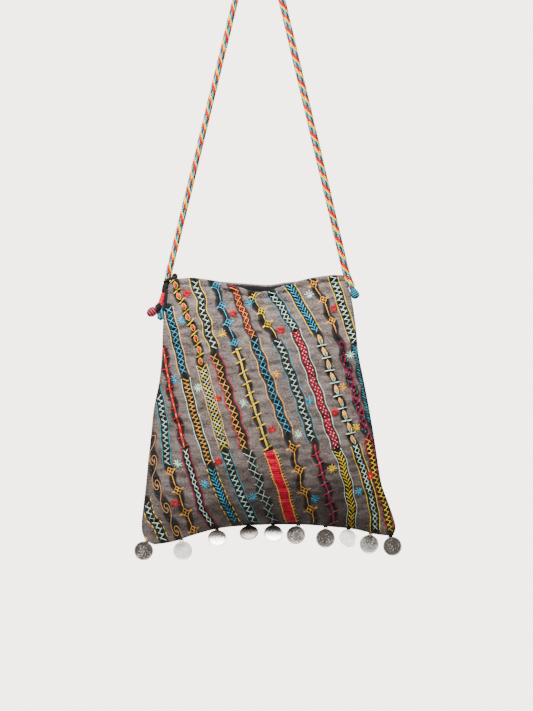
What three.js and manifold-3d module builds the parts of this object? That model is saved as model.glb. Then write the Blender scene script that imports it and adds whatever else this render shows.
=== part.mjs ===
// A cotton shoulder bag: two embroidered cloth panels sewn into a slack pouch with a dark lining,
// a row of coins tied along the hem, and a round cord strap that ends in wrapped tails at the
// top corners. Millimetres, +Z up, the front faces -Y.
// The origin is the underside of the strap's top bend, where the strap hangs over a peg.
import * as THREE from "three";
import { mergeVertices } from "three/addons/utils/BufferGeometryUtils.js";
import Module from "manifold-3d";

const wasm = await Module();
wasm.setup();

// Driving dimensions
const HEM_LEVEL = -647.9; // heights on the pouch are counted from here, by the low left of the hem
const CLOTH_WALL = 1.8; // quilted cotton with its stitching
const LINING_WALL = 1.0;
const PATCH_WALL = 1.0;
const GAP = 0.3; // kept between pieces that touch on the real bag
const SIDE_ROUND = 2.3; // how squarely the pouch fills out towards its side seams
const SIDE_TAPER = 0.9;
const BACK_FULLNESS = 0.86; // the back hangs a little flatter than the front
const STRAP_DIAMETER = 7.5;
const COIN_RADIUS = 10.0;
const COIN_WALL = 1.6;
const COIN_RIM = 1.1;
const COIN_RELIEF = 0.25;
const COIN_BOSS = 4.4;
const BAIL_RADIUS = 1.6;
const BAIL_HOLE = 1.0;
const BAIL_LENGTH = 1.8;
const TIE_THREAD = 0.4; // radius of the thread that ties a coin

// Sections of the pouch from the hem (share 0) to the rim (share 1):
// the side edges measured from the line of the peg, and the half depth in the middle.
const SECTIONS = [
  { share: 0.0, left: -125.4, right: 147.0, deep: 0.0 },
  { share: 0.03, left: -128.3, right: 149.8, deep: 9.5 },
  { share: 0.07, left: -128.5, right: 147.3, deep: 16.0 },
  { share: 0.12, left: -126.9, right: 142.3, deep: 21.0 },
  { share: 0.2, left: -124.2, right: 134.3, deep: 25.5 },
  { share: 0.3, left: -121.6, right: 129.6, deep: 27.5 },
  { share: 0.4, left: -118.3, right: 125.2, deep: 27.0 },
  { share: 0.5, left: -115.3, right: 120.2, deep: 25.0 },
  { share: 0.6, left: -109.6, right: 114.6, deep: 22.0 },
  { share: 0.7, left: -106.5, right: 108.9, deep: 18.8 },
  { share: 0.8, left: -105.4, right: 106.1, deep: 15.4 },
  { share: 0.88, left: -104.2, right: 103.0, deep: 13.0 },
  { share: 0.94, left: -101.9, right: 99.3, deep: 11.8 },
  { share: 0.975, left: -99.2, right: 95.0, deep: 11.2 },
  { share: 1.0, left: -96.25, right: 92.2, deep: 11.0 },
];

// The hem and the two rims across the bag, as heights above the hem level.
const EDGES = [
  { share: 0.0, hem: 4.4, front: 290.4, back: 290.4 },
  { share: 0.03, hem: -0.5, front: 290.5, back: 290.2 },
  { share: 0.06, hem: -0.5, front: 290.6, back: 290.0 },
  { share: 0.12, hem: 2.4, front: 291.2, back: 289.4 },
  { share: 0.2, hem: 9.6, front: 289.4, back: 288.5 },
  { share: 0.3, hem: 16.5, front: 286.1, back: 287.0 },
  { share: 0.4, hem: 19.3, front: 280.4, back: 285.5 },
  { share: 0.46, hem: 20.1, front: 276.8, back: 284.7 },
  { share: 0.52, hem: 20.6, front: 275.2, back: 284.0 },
  { share: 0.58, hem: 20.6, front: 277.3, back: 283.8 },
  { share: 0.66, hem: 20.2, front: 282.6, back: 286.2 },
  { share: 0.75, hem: 18.2, front: 288.0, back: 287.8 },
  { share: 0.85, hem: 15.4, front: 292.0, back: 290.5 },
  { share: 0.93, hem: 10.2, front: 294.0, back: 292.8 },
  { share: 1.0, hem: 8.2, front: 294.4, back: 294.4 },
];

// Soft folds: place on the panel, lean from upright in degrees, reach along and across the fold,
// and depth in millimetres (a ridge where it is negative).
const FOLDS = [
  { side: "front", across: 0.21, share: 0.12, lean: 14, long: 46, wide: 11, deep: 2.6 },
  { side: "front", across: 0.79, share: 0.13, lean: 10, long: 38, wide: 10, deep: 2.4 },
  { side: "front", across: 0.89, share: 0.09, lean: 26, long: 26, wide: 8, deep: 2.0 },
  { side: "front", across: 0.95, share: 0.24, lean: 72, long: 28, wide: 8, deep: 2.2 },
  { side: "front", across: 0.51, share: 0.9, lean: 0, long: 26, wide: 28, deep: 1.8 },
  { side: "front", across: 0.13, share: 0.8, lean: -18, long: 52, wide: 12, deep: -1.6 },
  { side: "front", across: 0.88, share: 0.8, lean: 18, long: 52, wide: 12, deep: -1.6 },
  { side: "back", across: 0.3, share: 0.16, lean: -12, long: 44, wide: 12, deep: 2.4 },
  { side: "back", across: 0.7, share: 0.2, lean: 12, long: 50, wide: 12, deep: 2.6 },
  { side: "back", across: 0.14, share: 0.78, lean: -18, long: 52, wide: 12, deep: -1.6 },
  { side: "back", across: 0.87, share: 0.78, lean: 18, long: 52, wide: 12, deep: -1.6 },
];

// Coins along the hem: place of the tie, lean to the left, tilt of the lower edge to the front
// and turn about the thread in degrees, slack in the tie, and the face that the bail is soldered to.
const COINS = [
  { across: -123.4, lean: 22, tilt: 5, turn: 6, slack: 0, bail: "back" },
  { across: -85.3, lean: -7, tilt: 4, turn: -5, slack: 1.0, bail: "front" },
  { across: -46.2, lean: -2, tilt: 36, turn: 4, slack: 1.0, bail: "back" },
  { across: -11.8, lean: -6, tilt: 48, turn: -6, slack: 0, bail: "back" },
  { across: 15.6, lean: 0, tilt: 33, turn: 3, slack: 0, bail: "back" },
  { across: 43.2, lean: 15, tilt: 20, turn: -8, slack: 0.7, bail: "back" },
  { across: 73.2, lean: 2, tilt: 6, turn: 5, slack: 1.3, bail: "back" },
  { across: 98.4, lean: 7, tilt: 30, turn: 20, slack: 0.8, bail: "back" },
  { across: 122.7, lean: 10, tilt: 3, turn: -4, slack: 0.4, bail: "front" },
  { across: 144.6, lean: -10, tilt: 6, turn: 12, slack: 0, bail: "back" },
];

// Centreline of the strap from the left corner over the peg to the right corner, as [x, z].
const STRAP_ROUTE = [
  [-100.9, -357.7],
  [-89.3, -310.0],
  [-78.3, -265.0],
  [-67.3, -220.0],
  [-56.4, -175.0],
  [-45.4, -130.0],
  [-34.4, -85.0],
  [-25.9, -50.0],
  [-19.9, -25.0],
  [-17.1, -14.0],
  [-15.0, -6.6],
  [-11.4, -1.0],
  [-6.2, 2.5],
  [0.0, 3.75],
  [6.2, 2.5],
  [11.4, -1.0],
  [15.0, -6.6],
  [16.7, -14.0],
  [19.2, -25.0],
  [25.0, -50.0],
  [33.3, -85.0],
  [43.9, -130.0],
  [54.5, -175.0],
  [65.1, -220.0],
  [75.7, -265.0],
  [86.2, -310.0],
  [96.6, -353.0],
  [99.2, -359.7],
  [101.4, -365.0],
];

// A value read from a table, on a smooth curve through its rows.
function read(table, share, column) {
  const last = table.length - 2;
  let k = 0;
  while (k < last && share > table[k + 1].share) {
    k += 1;
  }
  const before = table[Math.max(k - 1, 0)];
  const from = table[k];
  const to = table[k + 1];
  const after = table[Math.min(k + 2, last + 1)];
  const span = to.share - from.share;
  const part = (share - from.share) / span;
  const slope = (a, b) => ((b[column] - a[column]) / (b.share - a.share)) * span;
  const rise = to[column] - from[column];
  const start = slope(before, to);
  const end = slope(from, after);
  const bend = 3 * rise - 2 * start - end;
  const twist = start + end - 2 * rise;
  return from[column] + part * (start + part * (bend + part * twist));
}

// A point of the bag in the front view: across and above the hem level.
function frontView(side, across, share) {
  const left = read(SECTIONS, share, "left");
  const right = read(SECTIONS, share, "right");
  const hem = read(EDGES, across, "hem");
  const rim = read(EDGES, across, side);
  return [left + (right - left) * across, hem + (rim - hem) * share];
}

// Distance of a panel's inner face from the middle plane of the bag.
function depth(side, across, share) {
  const reach = Math.abs(2 * across - 1);
  const round = Math.max(0, 1 - reach ** SIDE_ROUND) ** SIDE_TAPER;
  const fullness = side === "front" ? 1 : BACK_FULLNESS;
  let value = read(SECTIONS, share, "deep") * round * fullness;
  const [x, up] = frontView(side, across, share);
  const calm = Math.min(1, 3 * round) * Math.min(1, 10 * share);
  for (const fold of FOLDS) {
    if (fold.side === side) {
      const [middle, level] = frontView(side, fold.across, fold.share);
      const lean = THREE.MathUtils.degToRad(fold.lean);
      const along = (up - level) * Math.cos(lean) - (x - middle) * Math.sin(lean);
      const aside = (up - level) * Math.sin(lean) + (x - middle) * Math.cos(lean);
      const reachShare = (along / fold.long) ** 2 + (aside / fold.wide) ** 2;
      value -= fold.deep * calm * Math.exp(-reachShare);
    }
  }
  return value + GAP / 2;
}

// A point off the inner face of a panel, measured outwards from the bag.
function clothPoint(side, across, share, outwards) {
  const [x, up] = frontView(side, across, share);
  const facing = side === "front" ? -1 : 1;
  const y = facing * (depth(side, across, share) + outwards);
  return [x, y, HEM_LEVEL + up];
}

// Even steps drawn closer together towards both ends.
function eased(step, steps, pull) {
  const part = step / steps;
  return part - pull * Math.sin(2 * Math.PI * part);
}

// A geometry from rows of points and faces with four or three corners.
function geometryFrom(points, faces) {
  const geometry = new THREE.BufferGeometry();
  const corners = [];
  for (const [a, b, c, d] of faces) {
    corners.push(a, b, c);
    if (d !== undefined) {
      corners.push(a, c, d);
    }
  }
  geometry.setAttribute("position", new THREE.Float32BufferAttribute(points.flat(), 3));
  geometry.setIndex(corners);
  geometry.computeVertexNormals();
  return geometry;
}

// A closed sheet between two faces, each given as a point for a column and a row.
function sheet(columns, rows, outside, inside) {
  const points = [];
  const faces = [];
  const index = (layer, i, j) => (layer * (rows + 1) + j) * (columns + 1) + i;
  for (const face of [outside, inside]) {
    for (let j = 0; j <= rows; j += 1) {
      for (let i = 0; i <= columns; i += 1) {
        points.push(face(i, j));
      }
    }
  }
  for (let j = 0; j < rows; j += 1) {
    for (let i = 0; i < columns; i += 1) {
      faces.push([index(0, i, j), index(0, i + 1, j), index(0, i + 1, j + 1), index(0, i, j + 1)]);
      faces.push([index(1, i, j), index(1, i, j + 1), index(1, i + 1, j + 1), index(1, i + 1, j)]);
    }
  }
  for (let i = 0; i < columns; i += 1) {
    faces.push([index(0, i, 0), index(1, i, 0), index(1, i + 1, 0), index(0, i + 1, 0)]);
    faces.push([index(0, i, rows), index(0, i + 1, rows), index(1, i + 1, rows), index(1, i, rows)]);
  }
  for (let j = 0; j < rows; j += 1) {
    faces.push([index(0, 0, j), index(0, 0, j + 1), index(1, 0, j + 1), index(1, 0, j)]);
    faces.push([
      index(0, columns, j),
      index(1, columns, j),
      index(1, columns, j + 1),
      index(0, columns, j + 1),
    ]);
  }
  return geometryFrom(points, faces);
}

// Pieces are named meshes with a plain material each.
const bag = new THREE.Group();
bag.name = "cotton_bag";

function piece(name, geometry, color, metalness, roughness) {
  const material = new THREE.MeshStandardMaterial({ color, metalness, roughness });
  const mesh = new THREE.Mesh(geometry, material);
  mesh.name = name;
  return mesh;
}

// Front and back panels: one curved sheet of cloth each, flat together along the seams.
const PANEL_COLUMNS = 21;
const PANEL_ROWS = 16;
const PANEL_PULL = { across: 0.05, share: 0.1 };

function panel(side) {
  const column = (i) => {
    const across = eased(i, PANEL_COLUMNS, PANEL_PULL.across);
    return side === "front" ? across : 1 - across;
  };
  const row = (j) => eased(j, PANEL_ROWS, PANEL_PULL.share);
  const outside = (i, j) => clothPoint(side, column(i), row(j), CLOTH_WALL);
  const inside = (i, j) => clothPoint(side, column(i), row(j), 0);
  return sheet(PANEL_COLUMNS, PANEL_ROWS, outside, inside);
}

bag.add(piece("front_panel", panel("front"), 0x8b807f, 0, 0.95));
bag.add(piece("back_panel", panel("back"), 0x8b807f, 0, 0.95));

// Lining: a thin dark pouch inside the panels, open at the top a little below the rim.
// It follows the panels' own columns and rows, short of the side seams.
const LINING_FIRST = { column: 2, row: 1 };
const LINING_COLUMNS = PANEL_COLUMNS - 2 * LINING_FIRST.column;
const LINING_ROWS = PANEL_ROWS - 2 * LINING_FIRST.row;
const LINING_INSET = 0.004;
const LINING_TOP = 0.991;

function liningPoint(layer, column, j) {
  const side = column <= LINING_COLUMNS ? "front" : "back";
  const i = side === "front" ? column : 2 * LINING_COLUMNS + 1 - column;
  const narrower = layer * LINING_INSET * (1 - (2 * i) / LINING_COLUMNS);
  const across = narrower + eased(i + LINING_FIRST.column, PANEL_COLUMNS, PANEL_PULL.across);
  const higher = layer * LINING_INSET * (1 - j / LINING_ROWS);
  const below = eased(j + LINING_FIRST.row, PANEL_ROWS, PANEL_PULL.share);
  const share = higher + (j === LINING_ROWS ? LINING_TOP : below);
  return clothPoint(side, across, share, -GAP - layer * LINING_WALL);
}

function lining() {
  const round = 2 * (LINING_COLUMNS + 1);
  const points = [];
  const faces = [];
  const index = (layer, i, j) => (layer * (LINING_ROWS + 1) + j) * round + (i % round);
  for (const layer of [0, 1]) {
    for (let j = 0; j <= LINING_ROWS; j += 1) {
      for (let i = 0; i < round; i += 1) {
        points.push(liningPoint(layer, i, j));
      }
    }
  }
  for (let j = 0; j < LINING_ROWS; j += 1) {
    for (let i = 0; i < round; i += 1) {
      faces.push([index(0, i, j), index(0, i + 1, j), index(0, i + 1, j + 1), index(0, i, j + 1)]);
      faces.push([index(1, i, j), index(1, i, j + 1), index(1, i + 1, j + 1), index(1, i + 1, j)]);
    }
  }
  for (let i = 0; i < LINING_COLUMNS; i += 1) {
    const behind = round - 1 - i;
    faces.push([index(0, i, 0), index(0, behind, 0), index(0, behind - 1, 0), index(0, i + 1, 0)]);
    faces.push([index(1, i, 0), index(1, i + 1, 0), index(1, behind - 1, 0), index(1, behind, 0)]);
  }
  for (let i = 0; i < round; i += 1) {
    const top = LINING_ROWS;
    faces.push([index(0, i, top), index(0, i + 1, top), index(1, i + 1, top), index(1, i, top)]);
  }
  return geometryFrom(points, faces);
}

bag.add(piece("lining", lining(), 0x1d1b1c, 0, 0.95));

// Red patch: a strip of red cloth laid on the front, from the middle down to the hem.
const PATCH_WIDE = 0.039; // share of the panel's width
const PATCH_SLANT = 0.011; // how much higher the right corner of its top edge lies
const PATCH_ROUTE = [
  { share: 0.012, across: 0.592 },
  { share: 0.035, across: 0.583 },
  { share: 0.073, across: 0.5795 },
  { share: 0.106, across: 0.5755 },
  { share: 0.139, across: 0.5755 },
  { share: 0.169, across: 0.571 },
  { share: 0.205, across: 0.561 },
  { share: 0.238, across: 0.554 },
  { share: 0.274, across: 0.5455 },
  { share: 0.318, across: 0.5285 },
];
const PATCH_FOOT = PATCH_ROUTE[0].share;
const PATCH_TOP = PATCH_ROUTE[PATCH_ROUTE.length - 1].share;
const PATCH_ROWS = 12;
const PATCH_COLUMNS = 2;

function patchPoint(i, j, outwards) {
  const part = j / PATCH_ROWS;
  const aside = i / PATCH_COLUMNS - 0.5;
  const share = PATCH_FOOT + (PATCH_TOP - PATCH_FOOT) * part;
  const across = read(PATCH_ROUTE, share, "across") + PATCH_WIDE * aside;
  return clothPoint("front", across, share + PATCH_SLANT * part * aside, CLOTH_WALL + 2 * GAP + outwards);
}

const patch = sheet(
  PATCH_COLUMNS,
  PATCH_ROWS,
  (i, j) => patchPoint(i, j, PATCH_WALL),
  (i, j) => patchPoint(i, j, 0),
);
bag.add(piece("red_patch", patch, 0xc0242c, 0, 0.9));

// Coins: a disc with a raised rim and boss, and a soldered tube for a bail, as one solid.
function solidFrom(geometry) {
  const plain = geometry.index ? geometry.clone() : mergeVertices(geometry);
  plain.deleteAttribute("normal");
  plain.deleteAttribute("uv");
  const welded = mergeVertices(plain, 1e-4);
  const vertProperties = new Float32Array(welded.attributes.position.array);
  const triVerts = new Uint32Array(welded.index.array);
  return new wasm.Manifold(new wasm.Mesh({ numProp: 3, vertProperties, triVerts }));
}

function geometryOf(solid) {
  const mesh = solid.getMesh();
  const geometry = new THREE.BufferGeometry();
  geometry.setAttribute("position", new THREE.BufferAttribute(mesh.vertProperties, 3));
  geometry.setIndex(new THREE.BufferAttribute(mesh.triVerts, 1));
  geometry.computeVertexNormals();
  return geometry;
}

const COIN_SIDES = 18;
const BAIL_SIDES = 10;
const BAIL_OVERLAP = 0.3; // depth of the solder between the bail and the face of the coin
const BAIL_INSET = 0.6; // from the coin's edge in to the bail's axis
const COIN_DROP = COIN_RADIUS - BAIL_INSET;
const COIN_SETBACK = COIN_WALL / 2 + BAIL_RADIUS - BAIL_OVERLAP;

function coin(bailFace) {
  const half = COIN_WALL / 2;
  const field = half - COIN_RELIEF;
  const rim = COIN_RADIUS - COIN_RIM;
  const profile = [
    [0, -field],
    [rim - COIN_RELIEF, -field],
    [rim, -half],
    [COIN_RADIUS, -half],
    [COIN_RADIUS, half],
    [rim, half],
    [rim - COIN_RELIEF, field],
    [COIN_BOSS + COIN_RELIEF, field],
    [COIN_BOSS, half],
    [0, half],
  ].map(([radius, height]) => new THREE.Vector2(radius, height));
  const disc = new THREE.LatheGeometry(profile, COIN_SIDES);
  disc.rotateX(Math.PI);
  disc.translate(0, bailFace === "front" ? COIN_SETBACK : -COIN_SETBACK, -COIN_DROP);
  const ring = [
    [BAIL_HOLE, -BAIL_LENGTH / 2],
    [BAIL_RADIUS, -BAIL_LENGTH / 2],
    [BAIL_RADIUS, BAIL_LENGTH / 2],
    [BAIL_HOLE, BAIL_LENGTH / 2],
    [BAIL_HOLE, -BAIL_LENGTH / 2],
  ].map(([radius, height]) => new THREE.Vector2(radius, height));
  const bail = new THREE.LatheGeometry(ring, BAIL_SIDES);
  bail.rotateZ(Math.PI / 2);
  return geometryOf(solidFrom(disc).add(solidFrom(bail)));
}

// Ties: a loop of thread from the hem through each bail, round in section.
const TIE_TOP = GAP + TIE_THREAD;
const TIE_PLAY = { above: 0.25, beside: 0.8 }; // clear of the bail
const BAIL_LEVEL = TIE_TOP + TIE_THREAD + TIE_PLAY.above + BAIL_RADIUS;
const TIE_HALF_WIDTH = BAIL_LENGTH / 2 + TIE_THREAD + TIE_PLAY.beside;
const TIE_STEPS = 10;
const TIE_SIDES = 5;

function tie(halfHeight) {
  const loop = new THREE.EllipseCurve(0, 0, TIE_HALF_WIDTH, halfHeight, 0, 2 * Math.PI);
  const points = [];
  const faces = [];
  const index = (step, corner) => (step % TIE_STEPS) * TIE_SIDES + (corner % TIE_SIDES);
  for (let step = 0; step < TIE_STEPS; step += 1) {
    const middle = loop.getPointAt(step / TIE_STEPS);
    const along = loop.getTangentAt(step / TIE_STEPS);
    for (let corner = 0; corner < TIE_SIDES; corner += 1) {
      const turn = (2 * Math.PI * corner) / TIE_SIDES;
      const outward = TIE_THREAD * Math.cos(turn);
      const x = middle.x + along.y * outward;
      const z = middle.y - along.x * outward;
      points.push([x, TIE_THREAD * Math.sin(turn), z]);
      faces.push([
        index(step, corner),
        index(step, corner + 1),
        index(step + 1, corner + 1),
        index(step + 1, corner),
      ]);
    }
  }
  return geometryFrom(points, faces);
}

COINS.forEach((row, order) => {
  const number = String(order + 1).padStart(2, "0");
  const bottom = SECTIONS[0];
  const share = (row.across - bottom.left) / (bottom.right - bottom.left);
  const hem = HEM_LEVEL + read(EDGES, share, "hem");
  const hanging = new THREE.Group();
  hanging.name = `coin_hanging_${number}`;
  hanging.position.set(row.across, 0, hem - BAIL_LEVEL - row.slack);
  const disc = piece(`coin_${number}`, coin(row.bail), 0xb9b6b0, 0.9, 0.45);
  const { degToRad } = THREE.MathUtils;
  disc.rotation.set(-degToRad(row.tilt), degToRad(row.lean), degToRad(row.turn), "XYZ");
  const halfHeight = (BAIL_LEVEL + row.slack - TIE_TOP) / 2;
  const loop = piece(`coin_tie_${number}`, tie(halfHeight), 0x1a1718, 0, 0.9);
  loop.position.set(0, 0, halfHeight);
  hanging.add(disc, loop);
  bag.add(hanging);
});

// Strap: one round cord from corner to corner over the peg.
const strapPath = new THREE.CatmullRomCurve3(
  STRAP_ROUTE.map(([x, z]) => new THREE.Vector3(x, 0, z)),
  false,
  "centripetal",
);
const STRAP_SIDES = 8;
const strapCorners = [];
for (let corner = 0; corner < STRAP_SIDES; corner += 1) {
  const turn = (2 * Math.PI * corner) / STRAP_SIDES;
  strapCorners.push(new THREE.Vector2(Math.cos(turn), Math.sin(turn)).multiplyScalar(STRAP_DIAMETER / 2));
}
const strap = new THREE.ExtrudeGeometry(new THREE.Shape(strapCorners), {
  steps: 64,
  bevelEnabled: false,
  extrudePath: strapPath,
});
bag.add(piece("strap_cord", strap, 0xb8483a, 0, 0.85));

// Wrapped ends of the strap: turned shapes along an axis, given by radius and share of the axis.
const TURNED_SIDES = 12;

function turned(profile, from, to) {
  const start = new THREE.Vector3(from[0], 0, from[1]);
  const axis = new THREE.Vector3(to[0], 0, to[1]).sub(start);
  const outline = profile.map(([radius, part]) => new THREE.Vector2(radius, part * axis.length()));
  const geometry = new THREE.LatheGeometry(outline, TURNED_SIDES);
  const upright = new THREE.Vector3(0, 1, 0);
  const turn = new THREE.Quaternion().setFromUnitVectors(upright, axis.clone().normalize());
  geometry.applyQuaternion(turn);
  geometry.translate(start.x, start.y, start.z);
  return geometry;
}

const ROD = [
  [0, 0],
  [1, 0],
  [0.92, 1],
  [0, 1],
];
const BULB = [
  [0, 0],
  [0.55, 0.03],
  [0.86, 0.2],
  [1, 0.45],
  [0.92, 0.7],
  [0.62, 0.92],
  [0, 1],
];
const NECKED = [
  [0, 0],
  [0.66, 0.01],
  [0.68, 0.24],
  [0.86, 0.36],
  [1, 0.58],
  [0.9, 0.82],
  [0.56, 0.96],
  [0, 1],
];
const BELL = [
  [0, 0],
  [0.36, 0.02],
  [0.62, 0.3],
  [0.96, 0.7],
  [1, 0.86],
  [0.7, 0.97],
  [0, 1],
];

// Wrapped ends from top to foot: form, greatest radius, ends of the axis and colour.
const STRAP_ENDS = [
  { name: "whipping", form: ROD, radius: 3.0, from: [-100.8, -358.6], to: [-104.4, -371.7], color: 0x161415 },
  { name: "tail", form: ROD, radius: 2.7, from: [-104.7, -372.3], to: [-108.3, -385.8], color: 0xb3262d },
  { name: "tail_band", form: ROD, radius: 2.9, from: [-109.4, -387.0], to: [-112.6, -390.3], color: 0x2a2425 },
  { name: "knob_left", form: BULB, radius: 4.5, from: [-113.0, -390.7], to: [-121.7, -396.4], color: 0x7c2733 },
  { name: "stub_left", form: BELL, radius: 3.5, from: [-105.7, -389.9], to: [-108.9, -402.2], color: 0x2f8f96 },
  { name: "knob_right", form: NECKED, radius: 5.1, from: [101.7, -365.8], to: [107.4, -378.6], color: 0x2f9aa0 },
];
for (const { name, form, radius, from, to, color } of STRAP_ENDS) {
  const profile = form.map(([share, part]) => [share * radius, part]);
  bag.add(piece(`strap_${name}`, turned(profile, from, to), color, 0, 0.85));
}

// Corner loop: a small ring of black cord between the strap and the left end of the rim.
const CORNER_LOOP = { radius: 2.0, cord: 1.3, place: [-92.6, -353.8] };
const cornerLoop = new THREE.TorusGeometry(CORNER_LOOP.radius, CORNER_LOOP.cord, 6, 12);
cornerLoop.rotateX(Math.PI / 2);
cornerLoop.translate(CORNER_LOOP.place[0], 0, CORNER_LOOP.place[1]);
bag.add(piece("strap_corner_loop", cornerLoop, 0x161415, 0, 0.8));

export default bag;
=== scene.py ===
import math

import bpy
import numpy as np
from mathutils import Matrix, Vector, noise
from mathutils.bvhtree import BVHTree


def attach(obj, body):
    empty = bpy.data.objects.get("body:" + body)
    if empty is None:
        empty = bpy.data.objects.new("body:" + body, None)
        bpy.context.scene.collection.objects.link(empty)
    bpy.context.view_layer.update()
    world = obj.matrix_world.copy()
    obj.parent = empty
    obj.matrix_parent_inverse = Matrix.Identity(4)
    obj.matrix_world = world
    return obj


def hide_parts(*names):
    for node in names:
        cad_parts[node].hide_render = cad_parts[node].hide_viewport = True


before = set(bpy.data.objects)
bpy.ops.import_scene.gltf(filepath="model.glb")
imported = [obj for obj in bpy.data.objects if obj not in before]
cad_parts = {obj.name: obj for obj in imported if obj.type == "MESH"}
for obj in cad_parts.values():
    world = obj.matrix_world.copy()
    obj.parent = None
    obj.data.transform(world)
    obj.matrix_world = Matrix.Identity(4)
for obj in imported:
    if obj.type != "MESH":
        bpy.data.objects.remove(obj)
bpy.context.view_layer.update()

# Camera: square on to the front of the bag and level with the middle of the picture, far enough
# back that the pouch shows as it hangs, with its sides nearly parallel to the line of sight.
CAMERA_DISTANCE = 3.6
PICTURE_HEIGHT = 0.7821
PICTURE_MIDDLE = 0.00825
PICTURE_LEVEL = -0.44165
bpy.ops.object.camera_add(
    location=(PICTURE_MIDDLE, -CAMERA_DISTANCE, PICTURE_LEVEL),
    rotation=(math.pi / 2, 0, 0),
)
camera = bpy.context.object
camera.data.lens = camera.data.sensor_width * CAMERA_DISTANCE / PICTURE_HEIGHT
bpy.context.scene.camera = camera


# Strap: a round cord laid up from ten two-ply strands of cotton yarn in red, yellow and teal, each
# colour twice round. It runs in one length from corner to corner over the peg, and is laid up
# more loosely down the right side.
MM = 0.001
STRAP_ROUTE = [
    (-100.9, -357.7), (-89.3, -310.0), (-78.3, -265.0), (-67.3, -220.0), (-56.4, -175.0),
    (-45.4, -130.0), (-34.4, -85.0), (-25.9, -50.0), (-19.9, -25.0), (-17.1, -14.0),
    (-15.0, -6.6), (-11.4, -1.0), (-6.2, 2.5), (0.0, 3.75), (6.2, 2.5), (11.4, -1.0),
    (15.0, -6.6), (16.7, -14.0), (19.2, -25.0), (25.0, -50.0), (33.3, -85.0), (43.9, -130.0),
    (54.5, -175.0), (65.1, -220.0), (75.7, -265.0), (86.2, -310.0), (96.6, -353.0),
    (99.2, -359.7), (101.4, -365.0),
]  # across and up, in millimetres from the peg
STRAP_DIAMETER = 7.5
STRAP_LAY = 29.5
STRAP_LOOSENESS = 1.13
STRAP_STEP = 0.75
STRAND_RADIUS = 0.88
PLY_RADIUS = 0.52
PLY_LAY = 5.6
STRAND_DYES = [
    (0, 4), (0, 0), (1, 1), (2, 3), (3, 2), (0, 4), (0, 1), (1, 1), (2, 3), (3, 2),
]  # the yarns of the two plies of each strand, in order round the strap
STRAP_YARNS = {
    "red": (212, 10, 14),
    "yellow": (255, 212, 0),
    "teal": (84, 176, 184),
    "dark teal": (6, 58, 74),
    "dark red": (140, 4, 14),
}
# share of its colour the strap yarn keeps in the painted shade between its fibres
YARN_FIBRE_SHADE = 0.62
REARWARD = np.array([0.0, 1.0, 0.0])
CURVE_STEPS = 24


def linear(colour):
    """A colour from its usual 0 to 255 steps to the linear shares a shader takes."""
    shares = [step / 255 for step in colour]
    bent = [s / 12.92 if s <= 0.04045 else ((s + 0.055) / 1.055) ** 2.4 for s in shares]
    return (*bent, 1.0)


def smooth_line(points, step):
    """Places a step apart on a smooth curve through the points, and their lengths along it."""
    points = np.array(points, float)
    chain = [2 * points[0] - points[1], *points, 2 * points[-1] - points[-2]]
    run = []
    for quad in zip(chain, chain[1:], chain[2:], chain[3:]):
        gaps = [np.linalg.norm(b - a) ** 0.5 for a, b in zip(quad, quad[1:])]
        knots = np.cumsum([0.0, *gaps])
        t = np.linspace(knots[1], knots[2], CURVE_STEPS, endpoint=False)[:, None]

        def between(a, b, i, j):
            return a + (b - a) * (t - knots[i]) / (knots[j] - knots[i])

        first = [between(quad[i], quad[i + 1], i, i + 1) for i in range(3)]
        second = [between(first[i], first[i + 1], i, i + 2) for i in range(2)]
        run.append(between(second[0], second[1], 1, 2))
    run = np.vstack([*run, points[-1:]])
    lengths = np.concatenate([[0.0], np.cumsum(np.linalg.norm(np.diff(run, axis=0), axis=1))])
    even = np.linspace(0, lengths[-1], int(round(lengths[-1] / step)) + 1)
    return np.column_stack([np.interp(even, lengths, column) for column in run.T]), even


def new_bundle():
    """An empty bundle of strands, filled by lay_strand and made one mesh by tie_bundle."""
    return {"points": [], "walls": [], "caps": [], "wall_marks": [], "dyes": [], "count": 0}


def unit(rows):
    return rows / np.linalg.norm(rows, axis=-1, keepdims=True)


def lay_strand(bundle, centres, across, radius, sides=6, dye=0):
    """Adds one round strand with closed ends that runs through the centres."""
    centres = np.asarray(centres, float)
    count = len(centres)
    along = unit(np.gradient(centres, axis=0))
    across = np.broadcast_to(across, centres.shape)
    across = unit(across - along * np.sum(across * along, axis=1, keepdims=True))
    up = np.cross(along, across)
    turns = 2 * np.pi * np.arange(sides) / sides
    ring = across[:, None] * np.cos(turns)[None, :, None] + up[:, None] * np.sin(turns)[None, :, None]
    radius = np.broadcast_to(radius, (count,))
    points = centres[:, None] + ring * radius[:, None, None]
    first = bundle["count"] + sides * np.arange(count - 1)[:, None]
    here = np.arange(sides)[None, :]
    after = (here + 1) % sides
    walls = np.stack([first + here, first + after, first + sides + after, first + sides + here], axis=-1)
    lengths = np.concatenate([[0.0], np.cumsum(np.linalg.norm(np.diff(centres, axis=0), axis=1))])
    low = np.broadcast_to(lengths[:-1, None], (count - 1, sides))
    high = np.broadcast_to(lengths[1:, None], (count - 1, sides))
    left = np.broadcast_to(here / sides, (count - 1, sides))
    right = left + 1 / sides
    corners = [(left, low), (right, low), (right, high), (left, high)]
    marks = np.stack([np.stack(corner, -1) for corner in corners], axis=2)
    bundle["points"].append(points.reshape(-1, 3))
    bundle["walls"].append(walls.reshape(-1, 4))
    bundle["wall_marks"].append(marks.reshape(-1, 2))
    start = bundle["count"] + np.arange(sides)[::-1]
    end = bundle["count"] + sides * (count - 1) + np.arange(sides)
    bundle["caps"] += [start.tolist(), end.tolist()]
    bundle["dyes"].append((dye, (count - 1) * sides))
    bundle["count"] += sides * count


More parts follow.
